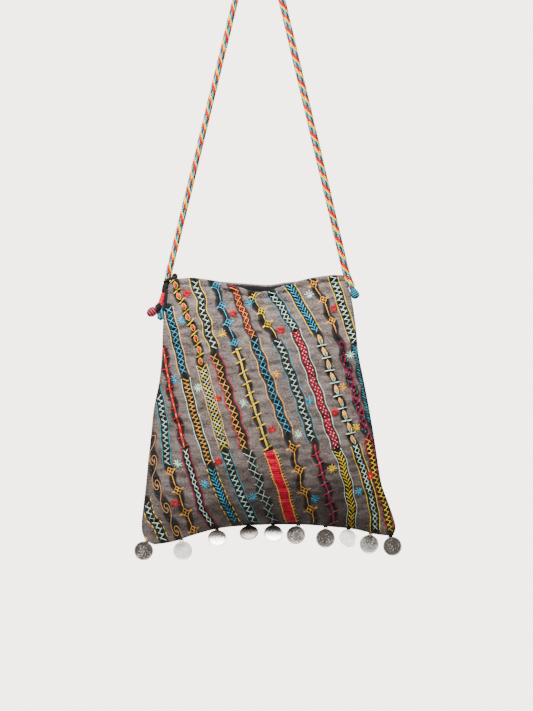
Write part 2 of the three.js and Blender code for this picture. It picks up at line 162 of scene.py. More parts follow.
def mesh_piece(name, points, faces, marks, materials, indices=None):
    """A smooth mesh object in the scene, from points in millimetres and marks along and round it."""
    mesh = bpy.data.meshes.new(name)
    mesh.from_pydata((np.asarray(points) * MM).tolist(), [], faces)
    layer = mesh.uv_layers.new(name="thread")
    layer.data.foreach_set("uv", np.asarray(marks, np.float32).ravel())
    for material in materials:
        mesh.materials.append(material)
    if indices is not None:
        mesh.polygons.foreach_set("material_index", np.asarray(indices, np.int32))
    mesh.shade_smooth()
    mesh.update()
    made = bpy.data.objects.new(name, mesh)
    bpy.context.scene.collection.objects.link(made)
    return made


def tie_bundle(name, bundle, materials):
    walls = np.vstack(bundle["walls"])
    corners = sum(len(cap) for cap in bundle["caps"])
    marks = np.vstack([*bundle["wall_marks"], np.zeros((corners, 2))])
    indices = [np.full(count, dye) for dye, count in bundle["dyes"]]
    indices += [np.array([dye, dye]) for dye, _ in bundle["dyes"]]
    faces = walls.tolist() + bundle["caps"]
    return mesh_piece(name, np.vstack(bundle["points"]), faces, marks, materials, np.concatenate(indices))


def feed(tree, target, sockets):
    """Gives each socket of a shader node a value or another node's output."""
    for name, value in sockets.items():
        if isinstance(value, bpy.types.NodeSocket):
            tree.links.new(value, target.inputs[name])
        else:
            target.inputs[name].default_value = value


def node(tree, kind, sockets=None, **settings):
    """A shader node with its settings and what its sockets take."""
    made = tree.nodes.new(kind)
    for name, value in settings.items():
        setattr(made, name, value)
    feed(tree, made, sockets or {})
    return made


def new_group(name, inputs, outputs):
    """A shader node group with named sockets, and its input and output nodes."""
    tree = bpy.data.node_groups.new(name, "ShaderNodeTree")
    for socket, kind in inputs:
        tree.interface.new_socket(socket, in_out="INPUT", socket_type=kind)
    for socket, kind in outputs:
        tree.interface.new_socket(socket, in_out="OUTPUT", socket_type=kind)
    return tree, tree.nodes.new("NodeGroupInput"), tree.nodes.new("NodeGroupOutput")


def math_node(tree, operation, *values):
    return node(tree, "ShaderNodeMath", dict(enumerate(values)), operation=operation).outputs[0]


def total(tree, start, *parts):
    """A sum of values, each with its weight."""
    for value, weight in parts:
        start = math_node(tree, "MULTIPLY_ADD", value, weight, start)
    return start


def ramp(tree, value, low, high, start=0.0, end=1.0):
    """A value carried over from one range to another and held at its ends."""
    return node(tree, "ShaderNodeMapRange", {0: value, 1: low, 2: high, 3: start, 4: end}).outputs[0]


def clouds(tree, place, scale, detail, roughness=0.5):
    """Cloudy unrest between 0 and 1."""
    sockets = {"Vector": place, "Scale": scale, "Detail": detail, "Roughness": roughness}
    return node(tree, "ShaderNodeTexNoise", sockets).outputs[0]


def blend_colour(tree, share, a, b):
    return node(tree, "ShaderNodeMix", {0: share, 6: a, 7: b}, data_type="RGBA").outputs[2]


def new_material(name):
    """A material, its nodes and its shader."""
    material = bpy.data.materials.new(name)
    material.use_nodes = True
    return material, material.node_tree, material.node_tree.nodes["Principled BSDF"]


# Painted shade: the cloth and its threads are darkened towards the hem, where the full pouch curves under,
# most of all right of the middle.
HEM_SHADE_COLOUR = (9, 5, 4)
hem_shade, _, hem_shade_out = new_group("painted_hem_shade", [], [("Share", "NodeSocketFloat")])
hem_shade_place = node(hem_shade, "ShaderNodeTexCoord").outputs["Object"]
hem_shade_level = node(hem_shade, "ShaderNodeSeparateXYZ", {0: hem_shade_place}).outputs[2]
hem_shade_broad = ramp(hem_shade, hem_shade_level, -0.4, -0.47, 0.0, 0.26)
hem_shade_patches = ramp(hem_shade, clouds(hem_shade, hem_shade_place, 30.0, 2.0), 0.38, 0.66, 0.35, 1.7)
hem_shade_low = math_node(hem_shade, "MULTIPLY", ramp(hem_shade, hem_shade_level, -0.5, -0.62, 0.0, 0.3), hem_shade_patches)
hem_shade_spot = node(
    hem_shade,
    "ShaderNodeMapping",
    {"Vector": hem_shade_place, "Location": (-0.32, 0, 7.35), "Scale": (7.1, 0, 11.76)},
).outputs[0]
hem_shade_round = node(hem_shade, "ShaderNodeTexGradient", {"Vector": hem_shade_spot}, gradient_type="SPHERICAL")
hem_shade_pool = ramp(hem_shade, hem_shade_round.outputs["Fac"], 0.0, 0.65, 0.0, 0.68)
hem_shade_clear = math_node(hem_shade, "SUBTRACT", math_node(hem_shade, "SUBTRACT", 1.0, hem_shade_broad), hem_shade_low)
hem_shade_clear = math_node(hem_shade, "MULTIPLY", hem_shade_clear, math_node(hem_shade, "SUBTRACT", 1.0, hem_shade_pool))
feed(hem_shade, hem_shade_out, {"Share": math_node(hem_shade, "SUBTRACT", 1.0, hem_shade_clear)})


def with_hem_shade(tree, colour, most):
    """A colour darkened towards the hem by painted shade."""
    shade_share = node(tree, "ShaderNodeGroup", node_tree=hem_shade).outputs["Share"]
    return blend_colour(tree, math_node(tree, "MULTIPLY", shade_share, most), colour, linear(HEM_SHADE_COLOUR))


# The fibres of a spun thread wind round it and give it fine ridges; its colour is painted darker between
# them, as painted shade.
FIBRE_LAY = 1.6
FIBRE_STARTS = 3.0
# how far the painted shade towards the hem darkens the threads
THREAD_HEM_SHADE = 0.88
THREAD_ROUGHNESS = 0.72
THREAD_SHEEN = 0.14
spun, spun_in, spun_out = new_group(
    "spun_fibres",
    [("Colour", "NodeSocketColor"), ("Fibre shade", "NodeSocketColor")],
    [("Colour", "NodeSocketColor"), ("Height", "NodeSocketFloat")],
)
spun_marks = node(spun, "ShaderNodeUVMap", uv_map="thread").outputs[0]
spun_round = node(spun, "ShaderNodeSeparateXYZ", {0: spun_marks}).outputs
spun_turn = math_node(spun, "DIVIDE", spun_round[1], FIBRE_LAY)
spun_phase = math_node(spun, "MULTIPLY", total(spun, spun_turn, (spun_round[0], FIBRE_STARTS)), 2 * math.pi)
spun_ridge = total(spun, 0.5, (math_node(spun, "SINE", spun_phase), 0.5))
spun_fluff = clouds(spun, node(spun, "ShaderNodeTexCoord").outputs["Object"], 420.0, 3.0)
spun_share = total(spun, 0.0, (spun_ridge, 0.45), (spun_fluff, 0.7))
spun_colour = blend_colour(spun, spun_share, spun_in.outputs["Fibre shade"], spun_in.outputs["Colour"])
spun_height = total(spun, spun_ridge, (spun_fluff, 0.5))
feed(spun, spun_out, {"Colour": with_hem_shade(spun, spun_colour, THREAD_HEM_SHADE), "Height": spun_height})


def thread_material(name, colour, fibre_shade=0.45):
    """Dyed cotton thread, with painted shade between its fibres."""
    material, tree, shader = new_material(name)
    dyes = {"Colour": linear(colour), "Fibre shade": linear([step * fibre_shade for step in colour])}
    fibres = node(tree, "ShaderNodeGroup", dyes, node_tree=spun).outputs
    bump = node(tree, "ShaderNodeBump", {"Height": fibres["Height"], "Strength": 0.5, "Distance": 0.0003})
    feed(tree, shader, {
        "Base Color": fibres["Colour"],
        "Normal": bump.outputs[0],
        "Roughness": THREAD_ROUGHNESS,
        "Specular IOR Level": THREAD_SHEEN,
    })
    return material


strap_line, strap_lengths = smooth_line(STRAP_ROUTE, STRAP_STEP)
strap_centre = np.column_stack([strap_line[:, 0], np.zeros(len(strap_line)), strap_line[:, 1]])
strap_along = unit(np.gradient(strap_centre, axis=0))
strap_aside = np.cross(REARWARD, strap_along)
strap_swell = np.interp(strap_lengths / strap_lengths[-1], [0.4, 0.6], [1.0, STRAP_LOOSENESS])
strap = new_bundle()
for strand, dyes in enumerate(STRAND_DYES):
    turn = (2 * np.pi * (strand / len(STRAND_DYES) - strap_lengths / STRAP_LAY))[:, None]
    outward = strap_aside * np.cos(turn) + REARWARD * np.sin(turn)
    sideways = np.cross(strap_along, outward)
    for ply, dye in enumerate(dyes):
        twist = (2 * np.pi * (ply / len(dyes) + strap_lengths / PLY_LAY))[:, None]
        off = (STRAND_RADIUS - PLY_RADIUS) * (outward * np.cos(twist) + sideways * np.sin(twist))
        reach = (outward * (STRAP_DIAMETER / 2 - STRAND_RADIUS) + off) * strap_swell[:, None]
        lay_strand(strap, strap_centre + reach, outward, PLY_RADIUS * strap_swell, sides=4, dye=dye)
strap_yarns = [
    thread_material(f"{name} strap yarn", colour, fibre_shade=YARN_FIBRE_SHADE)
    for name, colour in STRAP_YARNS.items()
]
strap_rope = tie_bundle("strap_rope", strap, strap_yarns)
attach(strap_rope, "root")
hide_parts("strap_cord")


# Panels: two pieces of grey hand-woven cotton sewn together at the sides and the hem. Dark wavy
# stripes are dyed in. The pouch sags full near the hem, and the cloth puckers between the stripes.
HEM_LEVEL = -647.9
POUCH_HEIGHT = 288.0
POUCH_WIDTH = 240.0
CLOTH_WALL = 1.8
GAP = 0.3
SIDE_ROUND = 2.3
SIDE_TAPER = 0.9
FULLNESS = {"front": 1.0, "back": 0.86}
FACING = {"front": -1.0, "back": 1.0}
LEFT, RIGHT, DEEP = 1, 2, 3
SECTIONS = np.array([
    (0.0, -125.4, 147.0, 0.0), (0.03, -128.3, 149.8, 9.5), (0.07, -128.5, 147.3, 16.0),
    (0.12, -126.9, 142.3, 21.0), (0.2, -124.2, 134.3, 25.5), (0.3, -121.6, 129.6, 27.5),
    (0.4, -118.3, 125.2, 27.0), (0.5, -115.3, 120.2, 25.0), (0.6, -109.6, 114.6, 22.0),
    (0.7, -106.5, 108.9, 18.8), (0.8, -105.4, 106.1, 15.4), (0.88, -104.2, 103.0, 13.0),
    (0.94, -101.9, 99.3, 11.8), (0.975, -99.2, 95.0, 11.2), (1.0, -96.25, 92.2, 11.0),
])  # share of the height, left edge, right edge and half depth
HEM = 1
RIM = {"front": 2, "back": 3}
EDGES = np.array([
    (0.0, 4.4, 290.4, 290.4), (0.03, -0.5, 290.5, 290.2), (0.06, -0.5, 290.6, 290.0),
    (0.12, 2.4, 291.2, 289.4), (0.2, 9.6, 289.4, 288.5), (0.3, 16.5, 286.1, 287.0),
    (0.4, 19.3, 280.4, 285.5), (0.46, 20.1, 276.8, 284.7), (0.52, 20.6, 275.2, 284.0),
    (0.58, 20.6, 277.3, 283.8), (0.66, 20.2, 282.6, 286.2), (0.75, 18.2, 288.0, 287.8),
    (0.85, 15.4, 292.0, 290.5), (0.93, 10.2, 294.0, 292.8), (1.0, 8.2, 294.4, 294.4),
])  # share of the width, hem, front rim and back rim above the hem level
FOLDS = {
    "front": [
        (0.21, 0.12, 14, 46, 11, 2.6), (0.79, 0.13, 10, 38, 10, 2.4), (0.89, 0.09, 26, 26, 8, 2.0),
        (0.95, 0.24, 72, 28, 8, 2.2), (0.51, 0.9, 0, 26, 28, 1.8), (0.13, 0.8, -18, 52, 12, -1.6),
        (0.88, 0.8, 18, 52, 12, -1.6),
    ],
    "back": [
        (0.3, 0.16, -12, 44, 12, 2.4), (0.7, 0.2, 12, 50, 12, 2.6), (0.14, 0.78, -18, 52, 12, -1.6),
        (0.87, 0.78, 18, 52, 12, -1.6),
    ],
}  # place across and up, lean in degrees, reach along and across the fold, and depth
CHART_STEP = 1.1
CHART_MIDDLE = 259.0
CHART_TOP = -46.0
STRIPES = [
    ([(146, 500), (150.4, 515), (156, 523), (160.7, 531.6), (164, 540)], [(490, 545)]),
    ([(152, 436), (153.2, 457), (156.2, 483), (166.2, 507), (175.7, 528.5), (180, 537)], []),
    (
        [
            (157, 388), (163.9, 420), (168.5, 466), (171.8, 474), (178, 490), (186, 512),
            (194.2, 529.5),
        ],
        [(380, 467)],
    ),
    (
        [
            (163.7, 349), (172.8, 400), (178.3, 420), (185, 447.5), (191.8, 472.6), (197.4, 489.4),
            (203, 510), (214.5, 527),
        ],
        [(452, 540)],
    ),
    (
        [
            (168.2, 308), (173.8, 330), (185, 376), (196.6, 422), (203.8, 444), (210.5, 464),
            (216.6, 482), (224.5, 501), (236, 523),
        ],
        [(290, 540)],
    ),
    (
        [
            (173.4, 279), (178.2, 293.7), (187.7, 315.4), (196.4, 338.3), (202, 365), (213, 406),
            (224.5, 447.5), (232, 470), (237.8, 486), (243.5, 499), (255, 522.5),
        ],
        [(365, 540)],
    ),
    (
        [
            (193.2, 279), (198, 290), (200.6, 299), (204.2, 316), (214.8, 351), (230.5, 399),
            (246, 446.6), (255, 469), (260.4, 486.6), (267, 504), (273.5, 521),
        ],
        [(260, 450)],
    ),
    (
        [
            (214.2, 280), (216.4, 286), (222.6, 305.8), (228.4, 323), (236.2, 347), (252, 399),
            (267.6, 446.6), (274.4, 464.5), (280.5, 484), (286.5, 504.4), (290.4, 518.4),
        ],
        [],
    ),
    (
        [
            (233.2, 287), (243, 312), (254, 340), (271, 388), (288.7, 436), (298, 469),
            (303.2, 490), (310.7, 509), (313.3, 523.5),
        ],
        [(270, 440)],
    ),
    (
        [
            (251.6, 290), (261, 311.5), (268.3, 324.3), (277, 339), (296, 389), (312.5, 440),
            (320, 466.7), (326, 486.6), (330.7, 503.4), (334, 521),
        ],
        [(340, 442)],
    ),
    (
        [
            (271.6, 292.6), (283, 311), (295, 331), (316, 389), (335, 444), (342.9, 466),
            (346.7, 481), (349.8, 496.5), (351.7, 512), (351, 527),
        ],
        [(270, 540)],
    ),
    (
        [
            (290, 286.5), (304, 311), (318.5, 337), (336, 389), (353.4, 441), (362.8, 469),
            (369, 490), (373.5, 508), (375.4, 530),
        ],
        [(270, 335), (445, 545)],
    ),
    (
        [
            (310, 280), (323, 300), (331.5, 321), (336.5, 333), (352, 385), (366.7, 436.5),
            (373.6, 465), (375.4, 479), (380, 491), (385.3, 506.5), (390.8, 532),
        ],
        [(440, 545)],
    ),
    ([(332.4, 276), (343, 308), (354, 343), (361, 377), (370, 419), (376.5, 445)], [(260, 343)]),
]  # each stripe from top to bottom on a chart of 1.1 mm squares, and the rows between edge threads
BARE_HALF = 4.1
EDGED_HALF = 4.9
STRIPE_WAVE = 0.4
WAVIER_STRIPES = {6: 1.2, 8: 1.0, 9: 0.8, 10: 0.8}
STRIPE_SWING = 1.3
GROUND_SHIFTS = {7: -1.8, 9: -2.8}  # dye that lies to the left of its stitches
SHIFTED_ROWS = 350  # it does so above this row
STRIPE_WAVELENGTH = 26.0
STRIPE_STAGGER = 1.9
STRIPE_RUN_ON = 12
SIDE_RUN_ON = 0.5
MOUTH_ROW = 300  # stripes that start below it run out at the side
EDGE_BLEND = 4
CLOTH_GREY = (115, 103, 98)
CLOTH_SHADE = (30, 25, 24)
DYE_DARK = (10, 9, 9)
DYE_FADED = (32, 28, 27)
PANEL_COLUMNS = 156
PANEL_ROWS = 164


def read(table, column, share):
    """A value from a table, on a smooth curve through its rows."""
    rows = table[:, 0]
    value = table[:, column]
    k = np.clip(np.searchsorted(rows, share) - 1, 0, len(rows) - 2)
    before = np.maximum(k - 1, 0)
    after = np.minimum(k + 2, len(rows) - 1)
    span = rows[k + 1] - rows[k]
    part = (share - rows[k]) / span
    rise = value[k + 1] - value[k]
    start = (value[k + 1] - value[before]) / (rows[k + 1] - rows[before]) * span
    end = (value[after] - value[k]) / (rows[after] - rows[k]) * span
    return value[k] + part * (start + part * (3 * rise - 2 * start - end + part * (start + end - 2 * rise)))


def front_view(side, across, share):
    """Where a place on a panel shows from the front: across, and above the hem level."""
    left = read(SECTIONS, LEFT, share)
    right = read(SECTIONS, RIGHT, share)
    hem = read(EDGES, HEM, across)
    rim = read(EDGES, RIM[side], across)
    return left + (right - left) * across, hem + (rim - hem) * share


def depth(side, across, share):
    """How far a panel's inner face stands off the middle of the bag."""
    reach = np.abs(2 * across - 1)
    fill = np.maximum(0, 1 - reach**SIDE_ROUND) ** SIDE_TAPER
    value = read(SECTIONS, DEEP, share) * fill * FULLNESS[side]
    x, up = front_view(side, across, share)
    calm = np.minimum(1, 3 * fill) * np.minimum(1, 10 * share)
    for place, height, lean, long, wide, deep in FOLDS[side]:
        middle, level = front_view(side, np.array(place), np.array(height))
        c, s = math.cos(math.radians(lean)), math.sin(math.radians(lean))
        along = (up - level) * c - (x - middle) * s
        aside = (up - level) * s + (x - middle) * c
        value = value - deep * calm * np.exp(-((along / long) ** 2) - (aside / wide) ** 2)
    return value + GAP / 2


def cloth_points(side, across, share, outwards):
    x, up = front_view(side, across, share)
    y = FACING[side] * (depth(side, across, share) + outwards)
    return np.stack([x, y, HEM_LEVEL + up], axis=-1)


def eased(steps, pull):
    """Even steps from 0 to 1, drawn closer together towards both ends."""
    part = np.linspace(0, 1, steps + 1)
    return part - pull * np.sin(2 * np.pi * part)


def chart(points):
    """Places counted on the chart, as millimetres across and up."""
    points = np.asarray(points, float)
    across = (points[..., 0] - CHART_MIDDLE) * CHART_STEP
    up = (CHART_TOP - points[..., 1]) * CHART_STEP
    return np.stack([across, up], axis=-1)


def turned_over(side, x, z):
    """The same place on the chart for either panel: the back carries it as seen from behind."""
    if side == "front":
        return x
    share = np.clip((z - HEM_LEVEL) / POUCH_HEIGHT, 0, 1)
    return read(SECTIONS, LEFT, share) + read(SECTIONS, RIGHT, share) - x


stripe_lines = []
for order, (run, edged_rows) in enumerate(STRIPES):
    run = np.array(run, float)
    run_up = STRIPE_RUN_ON if run[0, 1] < MOUTH_ROW else SIDE_RUN_ON
    head = run[0] - run_up * unit(run[1] - run[0])
    foot = run[-1] + STRIPE_RUN_ON * unit(run[-1] - run[-2])
    places, lengths = smooth_line(chart([head, *run, foot]), 1.0)
    heading = unit(np.gradient(places, axis=0))
    aside = np.column_stack([-heading[:, 1], heading[:, 0]])
    swing = np.sin(2 * np.pi * lengths / STRIPE_WAVELENGTH + STRIPE_STAGGER * order)
    rows = CHART_TOP - places[:, 1] / CHART_STEP
    edged = np.zeros(len(rows))
    for first, last in edged_rows:
        edged[(rows >= first) & (rows <= last)] = 1.0
    window = 2 * EDGE_BLEND + 1
    edged = np.convolve(np.pad(edged, EDGE_BLEND, mode="edge"), np.full(window, 1 / window), mode="valid")
    places = places + aside * (WAVIER_STRIPES.get(order, STRIPE_WAVE) * swing)[:, None]
    shift = GROUND_SHIFTS.get(order, 0.0) * np.clip((SHIFTED_ROWS - rows) / 10, 0, 1)
    stripe_lines.append({
        "places": places,
        "aside": aside,
        "lengths": lengths,
        "ground": places + aside * ((STRIPE_SWING * swing + shift) * (1 - edged))[:, None],
        "half": BARE_HALF + (EDGED_HALF - BARE_HALF) * edged,
    })


def stripe_depth(x, z):
    """How far inside the nearest dyed stripe a place lies, negative on the plain cloth."""
    spots = np.column_stack([x.ravel(), z.ravel()])
    best = np.full(len(spots), -1e3)
    for stripe in stripe_lines:
        ground = stripe["ground"]
        gaps = np.hypot(spots[:, :1] - ground[None, :, 0], spots[:, 1:] - ground[None, :, 1])
        best = np.maximum(best, np.max(stripe["half"] - gaps, axis=1))
    return best.reshape(x.shape)


def unrest(x, z, layers):
    """Smooth ripples over the cloth, each layer with its height, width, length and seed."""
    rise = np.zeros(x.size)
    for high, wide, tall, seed in layers:
        spots = [Vector((a / wide, b / tall, seed)) for a, b in zip(x.ravel(), z.ravel())]
        rise += high * np.array([noise.noise(spot) for spot in spots])
    return rise.reshape(x.shape)


def wall_mesh(name, outer, inner, marks, materials):
    """A closed sheet of cloth between two grids of points, with a rounded edge all round."""
    rows, columns = outer.shape[:2]
    index = np.arange(rows * columns).reshape(rows, columns)
    quads = np.stack([index[:-1, :-1], index[:-1, 1:], index[1:, 1:], index[1:, :-1]], -1).reshape(-1, 4)
    faces = quads.tolist() + (quads[:, ::-1] + rows * columns).tolist()
    border = np.concatenate([index[0, :-1], index[:-1, -1], index[-1, :0:-1], index[:0:-1, 0]])
    inside = np.concatenate([index[1, :-1], index[:-1, -2], index[-2, :0:-1], index[:0:-1, 1]])
    flat_outer = outer.reshape(-1, 3)
    flat_inner = inner.reshape(-1, 3)
    away = unit(flat_outer[border] - flat_outer[inside])
    wall = np.linalg.norm(flat_outer[border] - flat_inner[border], axis=1, keepdims=True)
    edge = (flat_outer[border] + flat_inner[border]) / 2 + away * wall * 0.3
    ring = 2 * rows * columns + np.arange(len(border))
    follow = np.roll(np.arange(len(border)), -1)
    faces += np.stack([border, ring, ring[follow], border[follow]], -1).tolist()
    deeper = border + rows * columns
    faces += np.stack([ring, deeper, deeper[follow], ring[follow]], -1).tolist()
    points = np.vstack([flat_outer, flat_inner, edge])
    flat_marks = marks.reshape(-1, 2)
    flat_marks = np.vstack([flat_marks, flat_marks, flat_marks[border]])
    return mesh_piece(name, points, faces, flat_marks[np.array(faces).ravel()], materials), quads, border


def add_attribute(piece, name, values):
    attribute = piece.data.attributes.new(name, "FLOAT", "POINT")
    attribute.data.foreach_set("value", np.asarray(values, np.float32))


# The weave of hand-spun cotton: raised crossings of warp and weft, thick and thin places, and broad soft
# patches of painted shade, as from small creases.
WEAVE_RELIEF = 0.0005
CLOTH_ROUGHNESS = 0.92
CLOTH_SHEEN = 0.1
weave, weave_in, weave_out = new_group(
    "plain_weave",
    [("Light", "NodeSocketColor"), ("Shade", "NodeSocketColor"), ("Pitch", "NodeSocketFloat")],
    [("Colour", "NodeSocketColor"), ("Height", "NodeSocketFloat")],
)
weave_marks = node(weave, "ShaderNodeUVMap", uv_map="thread").outputs[0]
weave_parts = node(weave, "ShaderNodeSeparateXYZ", {0: weave_marks}).outputs
weave_turn = math_node(weave, "DIVIDE", 2 * math.pi, weave_in.outputs["Pitch"])
weave_warp = math_node(weave, "SINE", math_node(weave, "MULTIPLY", weave_parts[0], weave_turn))
weave_weft = math_node(weave, "SINE", math_node(weave, "MULTIPLY", weave_parts[1], weave_turn))
weave_cross = total(weave, 0.5, (math_node(weave, "MULTIPLY", weave_warp, weave_weft), 0.5))
weave_across = node(weave, "ShaderNodeMapping", {"Vector": weave_marks, "Scale": (0.09, 0.6, 1.0)})
weave_slubs = clouds(weave, weave_across.outputs[0], 1.0, 4.0)
weave_specks = clouds(weave, weave_marks, 0.5, 5.0, 0.75)
# Broad soft patches of painted shade, as cast by small creases.
weave_crease_shade = clouds(weave, weave_marks, 0.06, 3.0)
weave_light = ((weave_slubs, 0.45), (weave_cross, 0.22), (weave_specks, 1.3), (weave_crease_shade, 0.6))
weave_share = ramp(weave, total(weave, 0.0, *weave_light), 0.98, 1.56)
weave_colour = blend_colour(weave, weave_share, weave_in.outputs["Shade"], weave_in.outputs["Light"])
weave_height = total(weave, 0.0, (weave_cross, 0.5), (weave_slubs, 0.8), (weave_specks, 0.8))
feed(weave, weave_out, {"Colour": weave_colour, "Height": weave_height})


def cloth_material(name, light, shade, pitch):
    """Woven cotton: returns the material, its shader and the colour that reaches it."""
    material, tree, shader = new_material(name)
    yarn = {"Light": linear(light), "Shade": linear(shade), "Pitch": pitch}
    woven = node(tree, "ShaderNodeGroup", yarn, node_tree=weave).outputs
    relief = {"Height": woven["Height"], "Strength": 0.6, "Distance": WEAVE_RELIEF}
    feed(tree, shader, {
        "Base Color": woven["Colour"],
        "Normal": node(tree, "ShaderNodeBump", relief).outputs[0],
        "Roughness": CLOTH_ROUGHNESS,
        "Specular IOR Level": CLOTH_SHEEN,
    })
    return material, shader, woven["Colour"]


panel_cotton, panel_shader, panel_plain = cloth_material("grey cotton", CLOTH_GREY, CLOTH_SHADE, 0.8)
panel_tree = panel_cotton.node_tree
panel_dye = node(panel_tree, "ShaderNodeAttribute", attribute_name="dyed").outputs["Fac"]
panel_marks = node(panel_tree, "ShaderNodeUVMap", uv_map="thread").outputs[0]
panel_bleed = clouds(panel_tree, panel_marks, 0.5, 3.0)
panel_edge = total(panel_tree, -0.8, (panel_dye, 1.0), (panel_bleed, 1.6))
panel_share = ramp(panel_tree, panel_edge, -0.9, 0.9)
panel_deep = ramp(panel_tree, panel_edge, 1.5, 4.0)
panel_dark = blend_colour(panel_tree, panel_deep, linear(DYE_FADED), linear(DYE_DARK))
panel_colour = blend_colour(panel_tree, panel_share, panel_plain, panel_dark)
# The dyed cloth is darkened towards the hem by painted shade.
feed(panel_tree, panel_shader, {"Base Color": with_hem_shade(panel_tree, panel_colour, 1.0)})

RIM_SEAM = 6.6  # the stitched turning lies this far below the rim
RIM_SEAM_DEPTH = 0.9
TURNING_RISE = 0.35
PUFF_HEIGHT = 0.9
PUFF_REACH = 5.0
STRIPE_SINK = 0.35
CRINKLES = [
    (1.9, 17.0, 6.5, 3.0), (1.2, 8.5, 4.2, 9.0), (2.4, 46.0, 30.0, 5.0),
]  # height, width, length and seed
UNDYED = -9.0
cloths = {}
for side in ("front", "back"):
    columns = eased(PANEL_COLUMNS, 0.02)
    columns = columns if side == "front" else columns[::-1]
    across, share = np.meshgrid(columns, eased(PANEL_ROWS, 0.05))
    x, up = front_view(side, across, share)
    z = HEM_LEVEL + up
    dyed = stripe_depth(turned_over(side, x, z), z)
    rim_gap = read(EDGES, RIM[side], across) - up
    hem_gap = up - read(EDGES, HEM, across)
    side_gap = np.minimum(across, 1 - across) * POUCH_WIDTH
    calm = np.clip(side_gap / 12, 0, 1) * np.clip(hem_gap / 9, 0, 1) * np.clip(rim_gap / 5, 0, 1)
    puff = PUFF_HEIGHT * (1 - np.exp(np.minimum(dyed, 0) / PUFF_REACH)) - STRIPE_SINK
    groove = -RIM_SEAM_DEPTH * np.exp(-(((rim_gap - RIM_SEAM) / 1.3) ** 2))
    turning = TURNING_RISE * np.exp(-((rim_gap / 5.5) ** 4))
    lift = calm * (puff + unrest(x, z, CRINKLES)) + (groove + turning) * np.clip(side_gap / 6, 0, 1)
    outer = cloth_points(side, across, share, CLOTH_WALL + lift)
    inner = cloth_points(side, across, share, np.minimum(0.0, lift))
    marks = np.stack([x, up], axis=-1)
    piece, quads, border = wall_mesh(f"{side}_cloth", outer, inner, marks, [panel_cotton])
    dye_all_round = [dyed.ravel(), np.full(dyed.size, UNDYED), dyed.ravel()[border]]
    add_attribute(piece, "dyed", np.concatenate(dye_all_round))
    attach(piece, "root")
    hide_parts(f"{side}_panel")
    tree = BVHTree.FromPolygons([Vector(p) for p in outer.reshape(-1, 3)], quads.tolist())
    cloths[side] = {"side": side, "piece": piece, "tree": tree, "yarns": {}}


CLEAR_OF_CLOTH = 90


def touch(cloth, x, z):
    """The place and outward direction on a panel at a spot on the chart, or None off its edge."""
    facing = FACING[cloth["side"]]
    start = Vector((float(turned_over(cloth["side"], x, z)), CLEAR_OF_CLOTH * facing, z))
    place, normal, _, _ = cloth["tree"].ray_cast(start, Vector((0, -facing, 0)))
    if place is None:
        return None
    return np.array(place), np.array(normal)


# Lining: a dark cotton pouch that hangs inside the panels and is felled to their turning just
# below the rim. It is closed at its foot and shows only at the mouth.
LINING_WALL = 1.0
LINING_BLACK = (25, 22, 22)
LINING_SHADE = (8, 7, 7)
LINING_COLUMNS = 60
LINING_ROWS = 70
LINING_SIDE = 0.045
LINING_FOOT = 0.026
LINING_TOP = 0.9945
LINING_INSET = 0.004
LINING_GAP = 2.2 * GAP
LINING_SLACK = [(0.6, 30.0, 22.0, 2.0), (0.3, 9.0, 6.0, 4.0)]  # height, width, length and seed

lining_layers = []
for layer in (0, 1):
    inset = layer * LINING_INSET
    columns = np.linspace(LINING_SIDE + inset, 1 - LINING_SIDE - inset, LINING_COLUMNS + 1)
    across, share = np.meshgrid(columns, np.linspace(LINING_FOOT + inset, LINING_TOP, LINING_ROWS + 1))
    halves = []
    for side in ("front", "back"):
        x, up = front_view(side, across, share)
        calm = np.clip((up - 25) / 30, 0, 1)
        slack = -np.abs(calm * unrest(x, up, LINING_SLACK))
        half = cloth_points(side, across, share, slack - LINING_GAP - layer * LINING_WALL)
        half = np.concatenate([half, x[..., None], up[..., None]], axis=-1)
        halves.append(half if side == "front" else half[:, ::-1])
    lining_layers.append(np.concatenate(halves, axis=1))
rows, round_columns = lining_layers[0].shape[:2]
layer_size = rows * round_columns
index = np.arange(layer_size).reshape(rows, round_columns)
behind = np.roll(index, -1, axis=1)
lining_skin = np.stack([index[:-1], behind[:-1], behind[1:], index[1:]], -1).reshape(-1, 4)
fold = [(index[0, i], index[0, -1 - i], index[0, -2 - i], index[0, i + 1]) for i in range(LINING_COLUMNS)]
lining_skin = np.vstack([lining_skin, np.array(fold)])
mouth = np.stack([index[-1], behind[-1], behind[-1] + layer_size, index[-1] + layer_size], -1)
lining_faces = np.vstack([lining_skin, lining_skin[:, ::-1] + layer_size, mouth])
lining_grid = np.vstack([layer.reshape(-1, 5) for layer in lining_layers])
lining_cotton, _, _ = cloth_material("dark lining cotton", LINING_BLACK, LINING_SHADE, 0.7)
lining_cloth = mesh_piece(
    "lining_cloth",
    lining_grid[:, :3],
    lining_faces.tolist(),
    lining_grid[lining_faces.ravel(), 3:],
    [lining_cotton],
)
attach(lining_cloth, "root")
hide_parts("lining")


# Red patch: a strip of red cotton ribbon laid on the front from the middle to the hem, ribbed
# across, with its long edges oversewn in orange thread.
PATCH_WALL = 1.0
PATCH_WIDE = 0.039
PATCH_SLANT = 0.011
PATCH_ROUTE = np.array([
    (0.012, 0.592), (0.035, 0.583), (0.073, 0.5795), (0.106, 0.5755), (0.139, 0.5755),
    (0.169, 0.571), (0.205, 0.561), (0.238, 0.554), (0.274, 0.5455), (0.318, 0.5285),
])  # share of the height, and place of the middle line across the panel
PATCH_RED = (196, 0, 44)
PATCH_SHADE = (100, 0, 22)
PATCH_HEM_SHADE = 0.85
PATCH_COLUMNS = 12
PATCH_ROWS = 180
PATCH_STANDOFF = 0.15
PATCH_LIFT = 0.35
PATCH_PUFF = 0.4
PATCH_CRINKLE = [(0.4, 9.0, 6.0, 1.0)]
RIB_HEIGHT = 0.26
RIB_PITCH = 2.3
